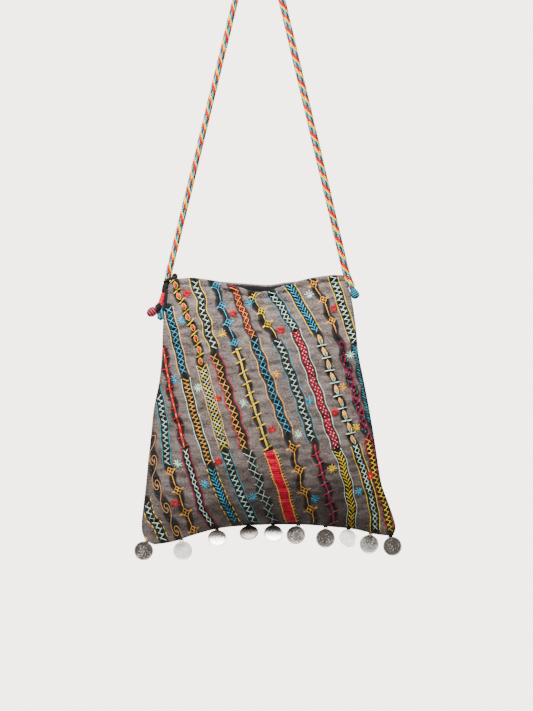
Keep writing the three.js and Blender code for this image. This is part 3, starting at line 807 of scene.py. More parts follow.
RIB_WANDER = [(2.2, 6.0, 5.0, 8.0)]


def patch_view(part, aside):
    """Millimetres across and up, from the foot (0) to the top (1) and the left (-1) to the right."""
    foot, top = PATCH_ROUTE[[0, -1], 0]
    share = foot + (top - foot) * part
    across = read(PATCH_ROUTE, 1, share) + aside * PATCH_WIDE / 2
    x, up = front_view("front", across, share + PATCH_SLANT * part * aside / 2)
    return x, HEM_LEVEL + up


aside, part = np.meshgrid(np.linspace(-1, 1, PATCH_COLUMNS + 1), np.linspace(0, 1, PATCH_ROWS + 1))
x, z = patch_view(part, aside)
under = [touch(cloths["front"], *spot)[0] for spot in zip(x.ravel(), z.ravel())]
under = np.array(under).reshape(*x.shape, 3)
ribs = RIB_HEIGHT * np.sin(2 * np.pi * z / RIB_PITCH + unrest(x, z, RIB_WANDER))
puffed = PATCH_WALL + PATCH_LIFT + ribs + unrest(x, z, PATCH_CRINKLE) + PATCH_PUFF * (1 - aside**2)
patch_outer = under - puffed[..., None] * REARWARD
patch_inner = under - PATCH_STANDOFF * REARWARD
patch_cotton, patch_shader, patch_colour = cloth_material("red ribbon cotton", PATCH_RED, PATCH_SHADE, 0.6)
patch_tree = patch_cotton.node_tree
# The red ribbon is darkened towards the hem by painted shade.
feed(patch_tree, patch_shader, {"Base Color": with_hem_shade(patch_tree, patch_colour, PATCH_HEM_SHADE)})
patch_marks = np.stack([x, z], axis=-1)
patch_cloth, _, _ = wall_mesh("patch_cloth", patch_outer, patch_inner, patch_marks, [patch_cotton])
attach(patch_cloth, "root")
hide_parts("red_patch")


# Embroidery: hand stitches in loosely spun cotton along the dark stripes, couched threads or
# running stitches at their edges, and stars of nine or eleven rays on the plain cloth between them.
THREADS = {
    "yellow": (255, 212, 8),
    "orange": (255, 178, 60),
    "tan": (252, 194, 110),
    "pale_green": (214, 255, 232),
    "blue": (48, 176, 214),
    "teal": (40, 142, 162),
    "ochre": (204, 142, 80),
    "slate": (40, 74, 96),
    "crimson": (174, 4, 46),
    "wine": (138, 4, 48),
    "red": (212, 2, 30),
    "cream": (252, 240, 216),
    "black": (24, 21, 22),
}
SHADES = (1.0, 0.9, 0.7)
SHADE_CHANCE = (0.56, 0.29, 0.15)
STITCH_RADIUS = 0.42
CORD_RADIUS = 0.43
STITCH_RISE = 0.42
STITCH_SINK = -0.2
STITCH_PARTS = (0.0, 0.3, 0.7, 1.0)
STITCH_TAPER = np.array([0.75, 1.0, 1.0, 0.75])
hand = np.random.default_rng(11)


def yarn_for(cloth, thread):
    return cloth["yarns"].setdefault(thread, new_bundle())


def sew(cloth, thread, start, end, radius=STITCH_RADIUS, rise=STITCH_RISE, wobble=0.18):
    """One straight stitch that comes up through the cloth at one spot and goes down at another."""
    start = np.asarray(start) + hand.normal(0, wobble, 2)
    end = np.asarray(end) + hand.normal(0, wobble, 2)
    spots = [touch(cloth, *(start + (end - start) * part)) for part in STITCH_PARTS]
    if any(spot is None for spot in spots):
        return
    points, normals = np.swapaxes(spots, 0, 1)
    lift = np.array([STITCH_SINK, rise, rise, STITCH_SINK])[:, None]
    dye = int(hand.choice(len(SHADES), p=SHADE_CHANCE))
    lay_strand(yarn_for(cloth, thread), points + normals * lift, normals, radius * STITCH_TAPER, dye=dye)


def couch(cloth, thread, places, radius=CORD_RADIUS, rise=0.34):
    """A longer thread that lies along the cloth through the places, cut where they leave it."""
    run = []
    for x, z in [*places, (1e4, 0.0)]:
        spot = touch(cloth, x, z)
        if spot is not None:
            run.append(spot)
            continue
        if len(run) > 2:
            points, normals = np.swapaxes(run, 0, 1)
            lift = np.full((len(run), 1), rise)
            lift[[0, -1]] = STITCH_SINK
            lay_strand(yarn_for(cloth, thread), points + normals * lift, normals, radius)
        run = []


def row_lengths(stripe, *rows):
    """How far along a stripe it passes the given rows of the chart."""
    levels = -stripe["places"][:, 1]
    return [float(np.interp((row - CHART_TOP) * CHART_STEP, levels, stripe["lengths"])) for row in rows]


def stripe_place(stripe):
    """A function from lengths along and aside of a stripe to millimetres across and up."""

    def place(along, aside):
        at = [np.interp(along, stripe["lengths"], column) for column in stripe["places"].T]
        off = [np.interp(along, stripe["lengths"], column) for column in stripe["aside"].T]
        return np.array(at) + np.array(off) * aside

    return place


def herringbone(cloth, place, start, end, threads, half, pitch):
    side = -1
    for along in np.arange(start, end - 1.7 * pitch, pitch):
        far = place(along + 1.7 * pitch, -side * half)
        sew(cloth, threads[0], place(along, side * half), far, radius=0.41)
        side = -side


def fishbone(cloth, place, start, end, threads, half, pitch):
    for along in np.arange(start, end - 1.7 * pitch, pitch):
        for side, first in ((-1, along), (1, along + pitch / 2)):
            far = place(first + 1.1 * pitch, -0.2 * side * half)
            sew(cloth, threads[0], place(first, side * half), far, radius=0.5)


def crosses(cloth, place, start, end, threads, half, pitch, radius=STITCH_RADIUS):
    for along in np.arange(start, end - 0.9 * pitch, pitch):
        for side in (-1, 1):
            sew(cloth, threads[0], place(along, side * half), place(along + pitch, -side * half), radius)


def double_lattice(cloth, place, start, end, threads, half, pitch):
    crosses(cloth, place, start, end, threads[:1], half, pitch)
    crosses(cloth, place, start + pitch / 2, end, threads[1:], half, pitch)


def dotted_lattice(cloth, place, start, end, threads, half, pitch):
    for first in (start, start + pitch / 2):
        crosses(cloth, place, first, end, threads, half, pitch, radius=0.16 * half - 0.05)
    for order, along in enumerate(np.arange(start + pitch / 2, end, pitch / 2)):
        for aside in (-0.55 * half, 0.55 * half) if order % 2 else (0.0,):
            sew(cloth, threads[1], place(along - 0.6, aside), place(along + 0.6, aside + 0.3), rise=0.95)


def leaning_crosses(cloth, place, start, end, threads, half, pitch):
    crosses(cloth, lambda along, aside: place(along, aside - 1.7), start, end, threads, half, pitch)


def net(cloth, place, start, end, threads, half, pitch):
    """Crosses with a short whisker at each corner."""
    crosses(cloth, place, start, end, threads, half, pitch, radius=0.34)
    for along in np.arange(start, end, pitch):
        for side in (-1, 1):
            tip = place(along - 0.6, side * (half + 1.8))
            sew(cloth, threads[0], place(along, 0.9 * side * half), tip, radius=0.34)


def thorns(cloth, place, start, end, threads, half, pitch):
    """A double spine with an arm to either side and a knot on it at each joint."""
    spine, heart, arm = threads
    knot = 2.1 if spine == arm else 0.45 * pitch
    for along in np.arange(end - 1.0, start, -pitch):
        reach = max(along - pitch - 0.5, start)
        for side in (-1, 1):
            sew(cloth, spine, place(along, 0.55 * side), place(reach, 0.55 * side), radius=0.6)
            tip = place(along - 1.3 * side, side * half)
            sew(cloth, arm, place(along - 0.5 * side, 0.0), tip, radius=0.75)
        sew(cloth, heart, place(along - knot, 0.0), place(along + 1.0, 0.0), radius=0.48, rise=1.0)


def leaf_row(cloth, place, start, end, threads, half, pitch, reach, wide, lean):
    """Filled leaves one after another and a bar below each: petals, or buds that stand in a cup."""
    fill, outline, tie = threads
    bow = np.linspace(-1, 1, 7)
    for order, middle in enumerate(np.arange(start + pitch / 2, end, pitch)):
        for aside in (-0.48 * wide, 0.0, 0.48 * wide):
            far = reach * (0.58 if aside else 0.8)
            sew(cloth, fill, place(middle - far, aside), place(middle + far, aside), radius=0.36 * wide)
        for side in (-1, 1):
            edge = [place(middle + reach * b, side * wide * (1 - b * b)) for b in bow]
            couch(cloth, outline, edge, radius=0.32)
            if lean < 0:
                cup = place(middle + pitch / 2 - 0.4, 0.2 * side)
                sew(cloth, tie, place(middle + 0.3 * reach, 1.1 * side * wide), cup, radius=0.3, rise=0.9)
        feet = [middle + pitch / 2]
        if order == 0 and lean > 0:
            feet.insert(0, middle - pitch / 2)
        for foot in feet:
            if foot < end - 1:
                sew(cloth, tie, place(foot + lean, -half), place(foot, 0.5), radius=0.6, rise=0.8)
                sew(cloth, tie, place(foot, -0.5), place(foot - lean, half), radius=0.6, rise=0.8)


def petals(cloth, place, start, end, threads, half, pitch):
    leaf_row(cloth, place, start, end, threads, half, pitch, 0.335 * pitch, 2.15, 1.9)


def buds(cloth, place, start, end, threads, half, pitch):
    leaf_row(cloth, place, start, end, threads, half, pitch, 0.34 * pitch, 1.9, -0.7)


def scrolls(cloth, place, start, end, threads, half, pitch):
    hook = [
        (0.12, 0.35), (-0.32, -0.1), (-0.2, -0.85), (0.3, -1.15), (0.8, -0.6), (0.92, 0.4),
        (0.6, 1.9), (-0.6, 3.6), (-0.95, 4.9), (-0.75, 6.1), (-0.15, 6.65), (0.38, 6.0), (0.1, 5.3),
    ]  # from the eye of one scroll to the eye of the next, aside and along
    eye = pitch / 5.6
    for middle in np.arange(start, end, pitch):
        curve, _ = smooth_line([place(middle + eye * along, half * aside) for aside, along in hook], 1.2)
        couch(cloth, threads[0], curve, radius=0.5)
    for thread in threads[1:]:
        for order, along in enumerate(np.arange(start, end - 2, 3.1)):
            side = (-1, 1, 0.2)[order % 3]
            sew(cloth, thread, place(along, 0.9 * side * half), place(along + 2.2, 0.45 * side * half))


def diamonds(cloth, place, start, end, thread, wide, tall, arm, middles):
    corners = [(-tall, 0.0), (0.0, wide), (tall, 0.0), (0.0, -wide)]
    for middle in middles:
        ring = [place(middle + along, aside) for along, aside in corners]
        for a, b in zip(ring, ring[1:] + ring[:1]):
            sew(cloth, thread, a, b)
        for order in (0, 1):
            first = (ring[order] + ring[order + 1]) / 2
            second = (ring[order + 2] + ring[(order + 3) % 4]) / 2
            sew(cloth, thread, first, second, rise=0.7)
        for side in (-1, 1):
            for spread in (-0.4, 0.45):
                tip = place(middle - 0.5 * side + 1.3 * spread, side * arm)
                sew(cloth, thread, place(middle + spread, side * (wide - 0.8)), tip)
    links = [start, *[m + s * tall for m in middles for s in (-1, 1)], end]
    for a, b in zip(links[::2], links[1::2]):
        if b - a > 2:
            couch(cloth, thread, [place(s, 0.0) for s in np.linspace(a, b, max(3, int((b - a) / 2)))])


STITCHES = [
    (0, 492, 541, herringbone, ("pale_green",), 2.9, 3.2),
    (1, 426, 545, scrolls, ("ochre", "slate"), 4.1, 27.4),
    (2, 384, 467, herringbone, ("pale_green",), 2.8, 2.9),
    (3, 346, 447, thorns, ("red", "orange", "crimson"), 5.2, 11.0),
    (3, 449, 528, crosses, ("pale_green",), 2.2, 7.4),
    (4, 304, 377, crosses, ("blue",), 3.2, 6.2),
    (4, 378, 465, herringbone, ("orange",), 3.0, 2.4),
    (4, 467, 525, fishbone, ("blue",), 3.4, 4.2),
    (5, 280, 363, petals, ("red", "yellow", "yellow"), 4.9, 12.6),
    (5, 365, 449, double_lattice, ("yellow", "pale_green"), 4.8, 9.6),
    (5, 451, 525, herringbone, ("pale_green",), 3.2, 3.1),
    (6, 275, 352, herringbone, ("pale_green",), 2.9, 3.1),
    (6, 354, 448, leaning_crosses, ("orange",), 3.7, 7.8),
    (6, 452, 523, net, ("pale_green",), 3.7, 9.1),
    (7, 349, 448, thorns, ("yellow", "pale_green", "yellow"), 5.9, 12.4),
    (8, 284, 338, double_lattice, ("crimson", "orange"), 3.3, 6.8),
    (8, 340, 438, crosses, ("blue",), 3.5, 7.2),
    (9, 340, 442, herringbone, ("pale_green",), 3.1, 3.2),
    (9, 444, 523, thorns, ("crimson", "blue", "crimson"), 6.0, 11.2),
    (10, 286, 330, crosses, ("pale_green",), 3.2, 5.6),
    (10, 331, 448, dotted_lattice, ("crimson", "cream"), 3.7, 5.2),
    (10, 450, 529, fishbone, ("yellow",), 3.4, 4.3),
    (11, 281, 335, fishbone, ("blue",), 3.4, 4.2),
    (11, 333, 445, buds, ("orange", "tan", "pale_green"), 5.6, 14.5),
    (11, 445, 533, crosses, ("pale_green",), 2.6, 6.0),
    (12, 347, 437, scrolls, ("wine", "slate"), 4.2, 29.5),
    (12, 360, 437, scrolls, ("wine", "teal"), -3.8, 29.5),
    (12, 438, 534, herringbone, ("yellow",), 2.7, 2.7),
    (13, 271, 343, herringbone, ("pale_green",), 3.3, 2.7),
    (13, 345, 445, fishbone, ("teal",), 2.3, 3.0),
]  # stripe, first and last row of the chart, stitch, threads, half width and pitch
DIAMONDS = [
    (2, 466, 533, "orange", 4.1, 5.0, 7.3, (471, 490, 512, 529.5)),
    (7, 280, 347, "blue", 3.9, 4.4, 6.9, (286, 305.8, 323, 342.5)),
    (8, 440, 525, "orange", 4.3, 5.6, 8.5, (447, 469, 490, 509)),
    (9, 290, 338, "yellow", 3.9, 4.4, 6.9, (295.7, 311.5, 324.3)),
    (12, 279, 333, "orange", 3.9, 4.4, 6.9, (284.4, 300, 321)),
]  # stripe, first and last row, thread, half width and height, reach of the arms, and rows
RUNNING = 0.5  # the radius of a thread sewn in running stitches, where the others lie whole
EDGINGS = [
    (0, 497, 541, "yellow", 5.3, RUNNING), (2, 386, 467, "teal", 4.6, 0.45),
    (3, 449, 528, "wine", 4.7, 0.56), (4, 306, 377, "tan", 5.2, 0.42),
    (4, 378, 465, "pale_green", 5.0, 0.34), (4, 467, 525, "yellow", 5.3, RUNNING),
    (5, 365, 449, "tan", 5.8, 0.4), (5, 451, 525, "teal", 5.0, 0.45),
    (6, 277, 352, "yellow", 5.4, 0.42), (6, 354, 448, "crimson", 5.7, 0.56),
    (8, 340, 438, "orange", 5.9, 0.4), (9, 340, 442, "teal", 5.9, 0.45),
    (10, 288, 330, "teal", 5.4, 0.45), (10, 331, 448, "pale_green", 5.6, 0.34),
    (10, 449, 529, "pale_green", 4.9, 0.34), (11, 282, 335, "yellow", 5.4, 0.42),
    (11, 445, 533, "yellow", 5.2, 0.42), (12, 438, 534, "red", 4.2, RUNNING),
    (13, 273, 343, "yellow", 5.3, 0.42),
]  # stripe, first and last row, thread, distance from the middle, and radius of the thread
STARS = [
    ("red", 186.7, 294), ("blue", 181.5, 321), ("blue", 175, 379.5), ("pale_green", 198.4, 387.6),
    ("red", 233, 313.3), ("yellow", 222.4, 334), ("blue", 250.3, 303), ("red", 218.3, 398.3),
    ("pale_green", 243.3, 403.4), ("red", 280.6, 330.4), ("orange", 276, 374.3),
    ("pale_green", 309.2, 295.2), ("red", 334.2, 308.5), ("pale_green", 350, 355),
    ("orange", 343.4, 387), ("blue", 309.2, 400.8), ("red", 334.2, 412), ("pale_green", 178.3, 463.4),
    ("red", 218.4, 460.7), ("blue", 205.4, 483.5), ("red", 175.5, 502.5), ("blue", 253, 496.3),
    ("red", 271.9, 428.7), ("pale_green", 298, 434.2), ("yellow", 356, 427.6), ("yellow", 332, 468.3),
    ("blue", 314.8, 498), ("blue", 359.2, 491), ("red", 370, 475.5),
]  # thread, and place on the chart
STAR_REACH = 4.8
RUNNING_PITCH = 7.0
RUNNING_LENGTH = 4.4
COUCH_STEP = 2.2
PATCH_STITCHES = 25
PATCH_CORD_STEPS = 60
BLANKET_REACH = {-1: np.array([-1.7, -0.7]), 1: np.array([2.8, 0.9])}

for cloth in cloths.values():
    for stripe_order, first, last, stitch, threads, half, pitch in STITCHES:
        stripe = stripe_lines[stripe_order]
        stitch(cloth, stripe_place(stripe), *row_lengths(stripe, first, last), threads, half, pitch)
    for stripe_order, first, last, thread, wide, tall, arm, middle_rows in DIAMONDS:
        stripe = stripe_lines[stripe_order]
        place = stripe_place(stripe)
        start, end, *middles = row_lengths(stripe, first, last, *middle_rows)
        diamonds(cloth, place, start, end, thread, wide, tall, arm, middles)
    for stripe_order, first, last, thread, off, thick in EDGINGS:
        stripe = stripe_lines[stripe_order]
        place = stripe_place(stripe)
        start, end = row_lengths(stripe, first, last)
        for way in (-1, 1):
            if thick == RUNNING:
                for along in np.arange(start, end - 4, RUNNING_PITCH):
                    far = place(along + RUNNING_LENGTH, way * off)
                    sew(cloth, thread, place(along, way * off), far, radius=thick)
            else:
                run = [place(along, way * off) for along in np.arange(start, end, COUCH_STEP)]
                couch(cloth, thread, run, thick)
    for thread, column, row in STARS:
        middle = chart((column, row))
        rays = 11 if thread == "red" else 9
        for ray in range(rays):
            turn = 2 * math.pi * (ray + 0.3) / rays
            reach = STAR_REACH * (0.85 + 0.3 * hand.random())
            tip = middle + reach * np.array([math.cos(turn), math.sin(turn)])
            sew(cloth, thread, middle + 0.08 * (tip - middle), tip, radius=0.5)

for way, reach in BLANKET_REACH.items():
    for part in np.linspace(0.02, 0.985, PATCH_STITCHES):
        edge = np.array(patch_view(np.array(part), 1.05 * way))
        sew(cloths["front"], "orange", edge, edge + reach, radius=0.48, rise=0.9)
    run = patch_view(np.linspace(0.0, 1.0, PATCH_CORD_STEPS), np.full(PATCH_CORD_STEPS, 1.08 * way))
    couch(cloths["front"], "orange", np.column_stack(run), radius=0.55, rise=1.2)


def shaded_threads(name, colour):
    """Hand-dyed thread is not even: the same colour in a full shade and two deeper ones."""
    shades = [[step * shade for step in colour] for shade in SHADES]
    return [thread_material(f"{name} {order + 1}", shade) for order, shade in enumerate(shades)]


stitch_threads = {thread: shaded_threads(f"{thread} stitch thread", dye) for thread, dye in THREADS.items()}
stitch_pieces = {"front": [], "back": []}
for side, cloth in cloths.items():
    for thread, bundle in cloth["yarns"].items():
        stitches = tie_bundle(f"stitches_{thread}_{side}", bundle, stitch_threads[thread])
        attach(stitches, "root")
        stitch_pieces[side].append(stitches)


# Sewn edges: the panels are whipped together with grey thread down the sides and along the hem,
# and the turning at each rim is caught down with small running stitches.
SEAM_PITCH = 3.6
SEAM_THREAD = 0.27
SEAM_GREY = (70, 63, 61)
HEM_WIDTH = 271.0
SIDE_LEAN = 0.011
HEM_LEAN = 0.008
TURNING_PITCH = 0.026
UPWARD = np.array([0.0, 0.0, 1.0])
RIGHTWARD = np.array([1.0, 0.0, 0.0])
seam_yarn = new_bundle()


def whip(share_across, share_up, lean):
    """One whip stitch over the edge, from the front face of the bag to the back."""
    spots = []
    for side, part in (("front", 1.0), ("front", 0.35), (None, 0.0), ("back", 0.35), ("back", 1.0)):
        across = np.array(share_across + lean[0] * part)
        up = np.array(share_up + lean[1] * part)
        if side is None:
            middle = sum(cloth_points(face, across, up, CLOTH_WALL) for face in cloths) / 2
            away = middle - cloth_points("front", across + 4 * lean[0], up + 4 * lean[1], 0.0)
            away[1] = 0.0
            spots.append(middle + unit(away) * 0.35)
        else:
            spots.append(cloth_points(side, across, up, CLOTH_WALL + (0.3 if part < 1 else -0.3)))
    curve, _ = smooth_line(spots, 1.0)
    lay_strand(seam_yarn, curve, UPWARD if lean[0] else RIGHTWARD, SEAM_THREAD)


for share in np.arange(0.02, 0.985, SEAM_PITCH / POUCH_HEIGHT):
    whip(0.0, share, (SIDE_LEAN, 0.0))
    whip(1.0, share, (-SIDE_LEAN, 0.0))
for share in np.arange(0.015, 0.99, SEAM_PITCH / HEM_WIDTH):
    whip(share, 0.0, (0.0, HEM_LEAN))
for side, cloth in cloths.items():
    turning = {"side": side, "tree": cloth["tree"], "yarns": {"black": seam_yarn}}
    for share in np.arange(0.02, 0.98, TURNING_PITCH):
        x, up = front_view(side, np.array(share), np.array(1 - RIM_SEAM / POUCH_HEIGHT))
        z = HEM_LEVEL + up
        x = float(turned_over(side, x, z))
        sew(turning, "black", (x, z), (x + 2.2, z), radius=0.28, rise=0.15, wobble=0.1)
edge_seam = tie_bundle("edge_seam", seam_yarn, shaded_threads("grey seam thread", SEAM_GREY))
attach(edge_seam, "root")


# Coins: ten worn silver coins, each struck with a raised rim, a ring of beads and a whirl of
# leaves, dark with tarnish in the hollows. A short tube for a bail is soldered near the edge.
COIN_RADIUS = 10.3
COIN_WALL = 1.6
COIN_RIM = 1.1
COIN_RELIEF = 0.3
COIN_SEGMENTS = 96
COIN_RINGS = (0.2, 0.5, 0.3, 0.3, 0.5, *[0.55] * 13)
COIN_BEADS = 24
BEAD_CIRCLE = 8.0
INNER_RING = 6.8
LEAF_CIRCLE = 3.9
SILVER = (234, 229, 222)
TARNISH_AND_SHADE = (48, 42, 38)
BAIL_RADIUS = 1.6
BAIL_HOLE = 1.0
BAIL_LENGTH = 1.8
BAIL_LEVEL = 2.95
COIN_DROP = 9.4
COIN_SETBACK = 2.1
COINS = [
    (-123.4, 22, 5, 6, 0.0, "back", 0.9, 0.05), (-85.3, -7, 4, -5, 1.0, "front", 0.16, 0.0),
    (-46.2, -2, 36, 4, 1.0, "back", 0.6, 1.25), (-11.8, -6, 48, -6, 0.0, "back", 0.95, 0.6),
    (15.6, 0, 33, 3, 0.0, "back", 0.58, 1.15), (43.2, 15, 20, -8, 0.7, "back", 0.9, 0.05),
    (73.2, 2, 6, 5, 1.3, "back", 0.95, 0.18), (98.4, 7, 30, 20, 0.8, "back", -0.15, 0.5),
    (122.7, 10, 3, -4, 0.4, "front", 0.76, 0.12), (144.6, -10, 6, 12, 0.0, "back", 0.95, 0.0),
]  # place on the hem, lean, tilt and turn in degrees, slack, face with the bail, tarnish, and painted shade on the upper part


def coin_relief(x, y, order):
    """Height of the struck face over the flat field, in millimetres."""
    radius = math.hypot(x, y)
    turn = math.atan2(y, x) + 0.7 * order
    rim = 1 / (1 + math.exp(-(radius - (COIN_RADIUS - COIN_RIM)) / 0.12))
    beads = (0.5 + 0.5 * math.cos(COIN_BEADS * turn)) * math.exp(-(((radius - BEAD_CIRCLE) / 0.45) ** 2))
    ring = 0.8 * math.exp(-(((radius - INNER_RING) / 0.35) ** 2))
    leaf = max(0.0, math.sin((7 + order % 3) * turn + 1.5 * radius))
    leaf = leaf * math.exp(-(((radius - LEAF_CIRCLE) / 1.7) ** 2))
    heart = math.exp(-(radius**2))
    worn = 0.75 + 0.35 * noise.noise(Vector((x * 0.4, y * 0.4, order * 3.1)))
    return COIN_RELIEF * (rim + worn * (0.8 * beads + ring + 1.1 * leaf + heart))


def coin_metal(name, tarnish, shade):
    """Worn silver: bright where it is rubbed, brown-black with tarnish in the hollows, and darker on its
    upper part with painted shade.
    """
    material, tree, shader = new_material(name)
    place = node(tree, "ShaderNodeTexCoord").outputs["Object"]
    raised = node(tree, "ShaderNodeAttribute", attribute_name="raised").outputs["Fac"]
    upper = node(tree, "ShaderNodeAttribute", attribute_name="upper").outputs["Fac"]
    stains = clouds(tree, place, 620.0, 6.0, 0.65)
    blooms = clouds(tree, place, 110.0, 2.0)
    # Besides the tarnish, the upper part of each coin is darkened by painted shade, as much as its table
    # entry gives.
    share = total(tree, tarnish - 0.56, (stains, 0.9), (blooms, 0.5), (raised, -0.28), (upper, shade))
    share = ramp(tree, share, 0.0, 1.0)
    scratches = {"Height": clouds(tree, place, 700.0, 4.0), "Strength": 0.35, "Distance": 0.0002}
    feed(tree, shader, {
        "Base Color": blend_colour(tree, share, linear(SILVER), linear(TARNISH_AND_SHADE)),
        "Roughness": total(tree, 0.42, (share, 0.2)),
        "Normal": node(tree, "ShaderNodeBump", scratches).outputs[0],
        "Metallic": 0.75,
    })
    return material


def make_coin(order, bail_face):
    """One coin with its bail about the origin, where the tie holds it."""
    bpy.ops.object.select_all(action="DESELECT")
    bpy.ops.mesh.primitive_cylinder_add(
        vertices=COIN_SEGMENTS,
        radius=COIN_RADIUS * MM,
        depth=COIN_WALL * MM,
    )
    disc = bpy.context.object
    bpy.ops.object.mode_set(mode="EDIT")
    bpy.ops.mesh.select_mode(type="FACE")
    bpy.ops.mesh.select_all(action="DESELECT")
    bpy.ops.object.mode_set(mode="OBJECT")
    for face in disc.data.polygons:
        face.select = abs(face.normal.z) > 0.9
    bpy.ops.object.mode_set(mode="EDIT")
    for ring in COIN_RINGS:
        bpy.ops.mesh.inset(thickness=ring * MM, use_individual=True)
    bpy.ops.mesh.poke()
    bpy.ops.object.mode_set(mode="OBJECT")
    raised = []
    upper = []
    for vertex in disc.data.vertices:
        x, y, z = vertex.co / MM
        radius = math.hypot(x, y)
        height = coin_relief(x, y, order)
        edge = 0.15 if radius > COIN_RADIUS - 0.05 else 0.0
        vertex.co.z = math.copysign(COIN_WALL / 2 - COIN_RELIEF - edge + height, z) * MM
        raised.append(min(1.0, height / COIN_RELIEF) if radius < COIN_RADIUS - 0.4 else -1.4)
        upper.append(y / COIN_RADIUS)
    add_attribute(disc, "raised", raised)
    add_attribute(disc, "upper", upper)
    disc.data.transform(Matrix.Rotation(math.pi / 2, 4, "X"))
    setback = COIN_SETBACK if bail_face == "front" else -COIN_SETBACK
    disc.data.transform(Matrix.Translation((0, setback * MM, -COIN_DROP * MM)))
    bpy.ops.object.select_all(action="DESELECT")
    bpy.ops.mesh.primitive_cylinder_add(
        vertices=24,
        radius=BAIL_RADIUS * MM,
        depth=BAIL_LENGTH * MM,
        end_fill_type="NOTHING",
    )
    bail = bpy.context.object
    wall = bail.modifiers.new("wall", "SOLIDIFY")
    wall.thickness = (BAIL_RADIUS - BAIL_HOLE) * MM
    wall.offset = -1.0
    bpy.ops.object.modifier_apply(modifier="wall")
    rounding = bail.modifiers.new("rounding", "BEVEL")
    rounding.width = 0.18 * MM
    rounding.segments = 2
    bpy.ops.object.modifier_apply(modifier="rounding")
    bail.data.transform(Matrix.Rotation(math.pi / 2, 4, "Y"))
    add_attribute(bail, "raised", [0.2] * len(bail.data.vertices))
    add_attribute(bail, "upper", [1.0] * len(bail.data.vertices))
    disc.select_set(True)
    bpy.context.view_layer.objects.active = disc
    bpy.ops.object.join()
    bpy.ops.object.shade_smooth_by_angle(angle=math.radians(40))
    return disc


def hem_share(across):
    return (across - SECTIONS[0, LEFT]) / (SECTIONS[0, RIGHT] - SECTIONS[0, LEFT])


def hem_place(across):
    """The point on the hem line above a coin."""
    return np.array([across, 0.0, HEM_LEVEL + float(read(EDGES, HEM, np.array(hem_share(across))))])


for order, (across, lean, tilt, turn, slack, bail_face, tarnish, shade) in enumerate(COINS):
    disc = make_coin(order, bail_face)
    disc.name = f"coin_disc_{order + 1:02d}"
    disc.data.materials.clear()
    disc.data.materials.append(coin_metal(f"coin silver {order + 1:02d}", tarnish, shade))
    swing = (
        Matrix.Rotation(math.radians(-tilt), 4, "X")
        @ Matrix.Rotation(math.radians(lean), 4, "Y")
        @ Matrix.Rotation(math.radians(turn), 4, "Z")
    )
    spot = hem_place(across) - UPWARD * (BAIL_LEVEL + slack)
    disc.data.transform(Matrix.Translation(Vector(spot * MM)) @ swing)
    disc.location = (0, 0, 0)
    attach(disc, "root")
    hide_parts(f"coin_{order + 1:02d}")


# Ties: a few turns of black thread from the hem through each bail, with a stitch up into the
# cloth. The coin at the left corner hangs on a tan thread.
TIE_THREAD = 0.42
TIE_HALF_WIDTH = 2.0
TIE_OVERLAP = 0.35
TIE_TURNS = 3
TIE_STEPS = 14
KNOT_HEIGHT = 0.9
black_tie = thread_material("black tie thread", THREADS["black"])
tan_tie = stitch_threads["tan"][0]
for order, row in enumerate(COINS):
    across, slack = row[0], row[4]
    hem = hem_place(across)
    half_height = (BAIL_LEVEL + slack - TIE_OVERLAP) / 2
    middle = hem - UPWARD * (half_height + TIE_OVERLAP + 0.15)
    tie = new_bundle()
    steps = np.linspace(0, 2 * np.pi * TIE_TURNS, TIE_STEPS * TIE_TURNS)
    drift = np.linspace(-0.42, 0.42, len(steps))
    loop = np.column_stack([
        TIE_HALF_WIDTH * np.cos(steps),
        drift + 0.15 * np.sin(2.3 * steps),
        half_height * np.sin(steps) + 0.1 * np.cos(1.7 * steps),
    ])
    lay_strand(tie, middle + loop, REARWARD, TIE_THREAD)
    climb = np.linspace(0.0, KNOT_HEIGHT, len(steps)) + half_height - KNOT_HEIGHT
    knot = np.column_stack([1.9 * np.cos(steps), 1.1 * np.sin(steps), climb])
    lay_strand(tie, middle + knot, UPWARD, TIE_THREAD)
    for side in ("front", "back"):
        for off in (-0.8, 0.7):
            share = np.array(hem_share(across + off))
            rise = cloth_points(side, share, np.linspace(0.0, 0.012, 4), CLOTH_WALL + 0.2)
            start = middle + np.array([off, 0.25 * FACING[side], half_height])
            curve, _ = smooth_line([start, *rise], 0.9)
            lay_strand(tie, curve, RIGHTWARD, TIE_THREAD)
    coin_thread = tie_bundle(f"coin_thread_{order + 1:02d}", tie, [tan_tie if order == 0 else black_tie])
    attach(coin_thread, "root")
    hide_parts(f"coin_tie_{order + 1:02d}")


# Strap ends: the cord is bound at the left corner with black thread and a small black loop. Its
# tail is wound with red and ends in a wound dark red knob beside a ridged stub of strap yarn, and
# its right end is wound into a teal knob. Each outline pairs shares of the radius and the length.
ROD = [(1.0, 0.0), (0.92, 1.0)]
FLARED = [(0.86, 0.0), (1.06, 1.0)]
SWOLLEN = [(0.86, 0.0), (1.0, 0.55), (0.94, 0.75), (0.78, 1.0)]
BULB = [(0.4, 0.0), (0.86, 0.2), (1.0, 0.45), (0.92, 0.7), (0.62, 0.92), (0.15, 1.0)]
NECKED = [(0.64, 0.0), (0.64, 0.26), (0.82, 0.4), (1.0, 0.64), (0.92, 0.86), (0.56, 0.97), (0.15, 1.0)]
BELL = [(0.52, 0.0), (0.66, 0.3), (0.96, 0.7), (1.0, 0.86), (0.7, 0.97), (0.3, 1.0)]


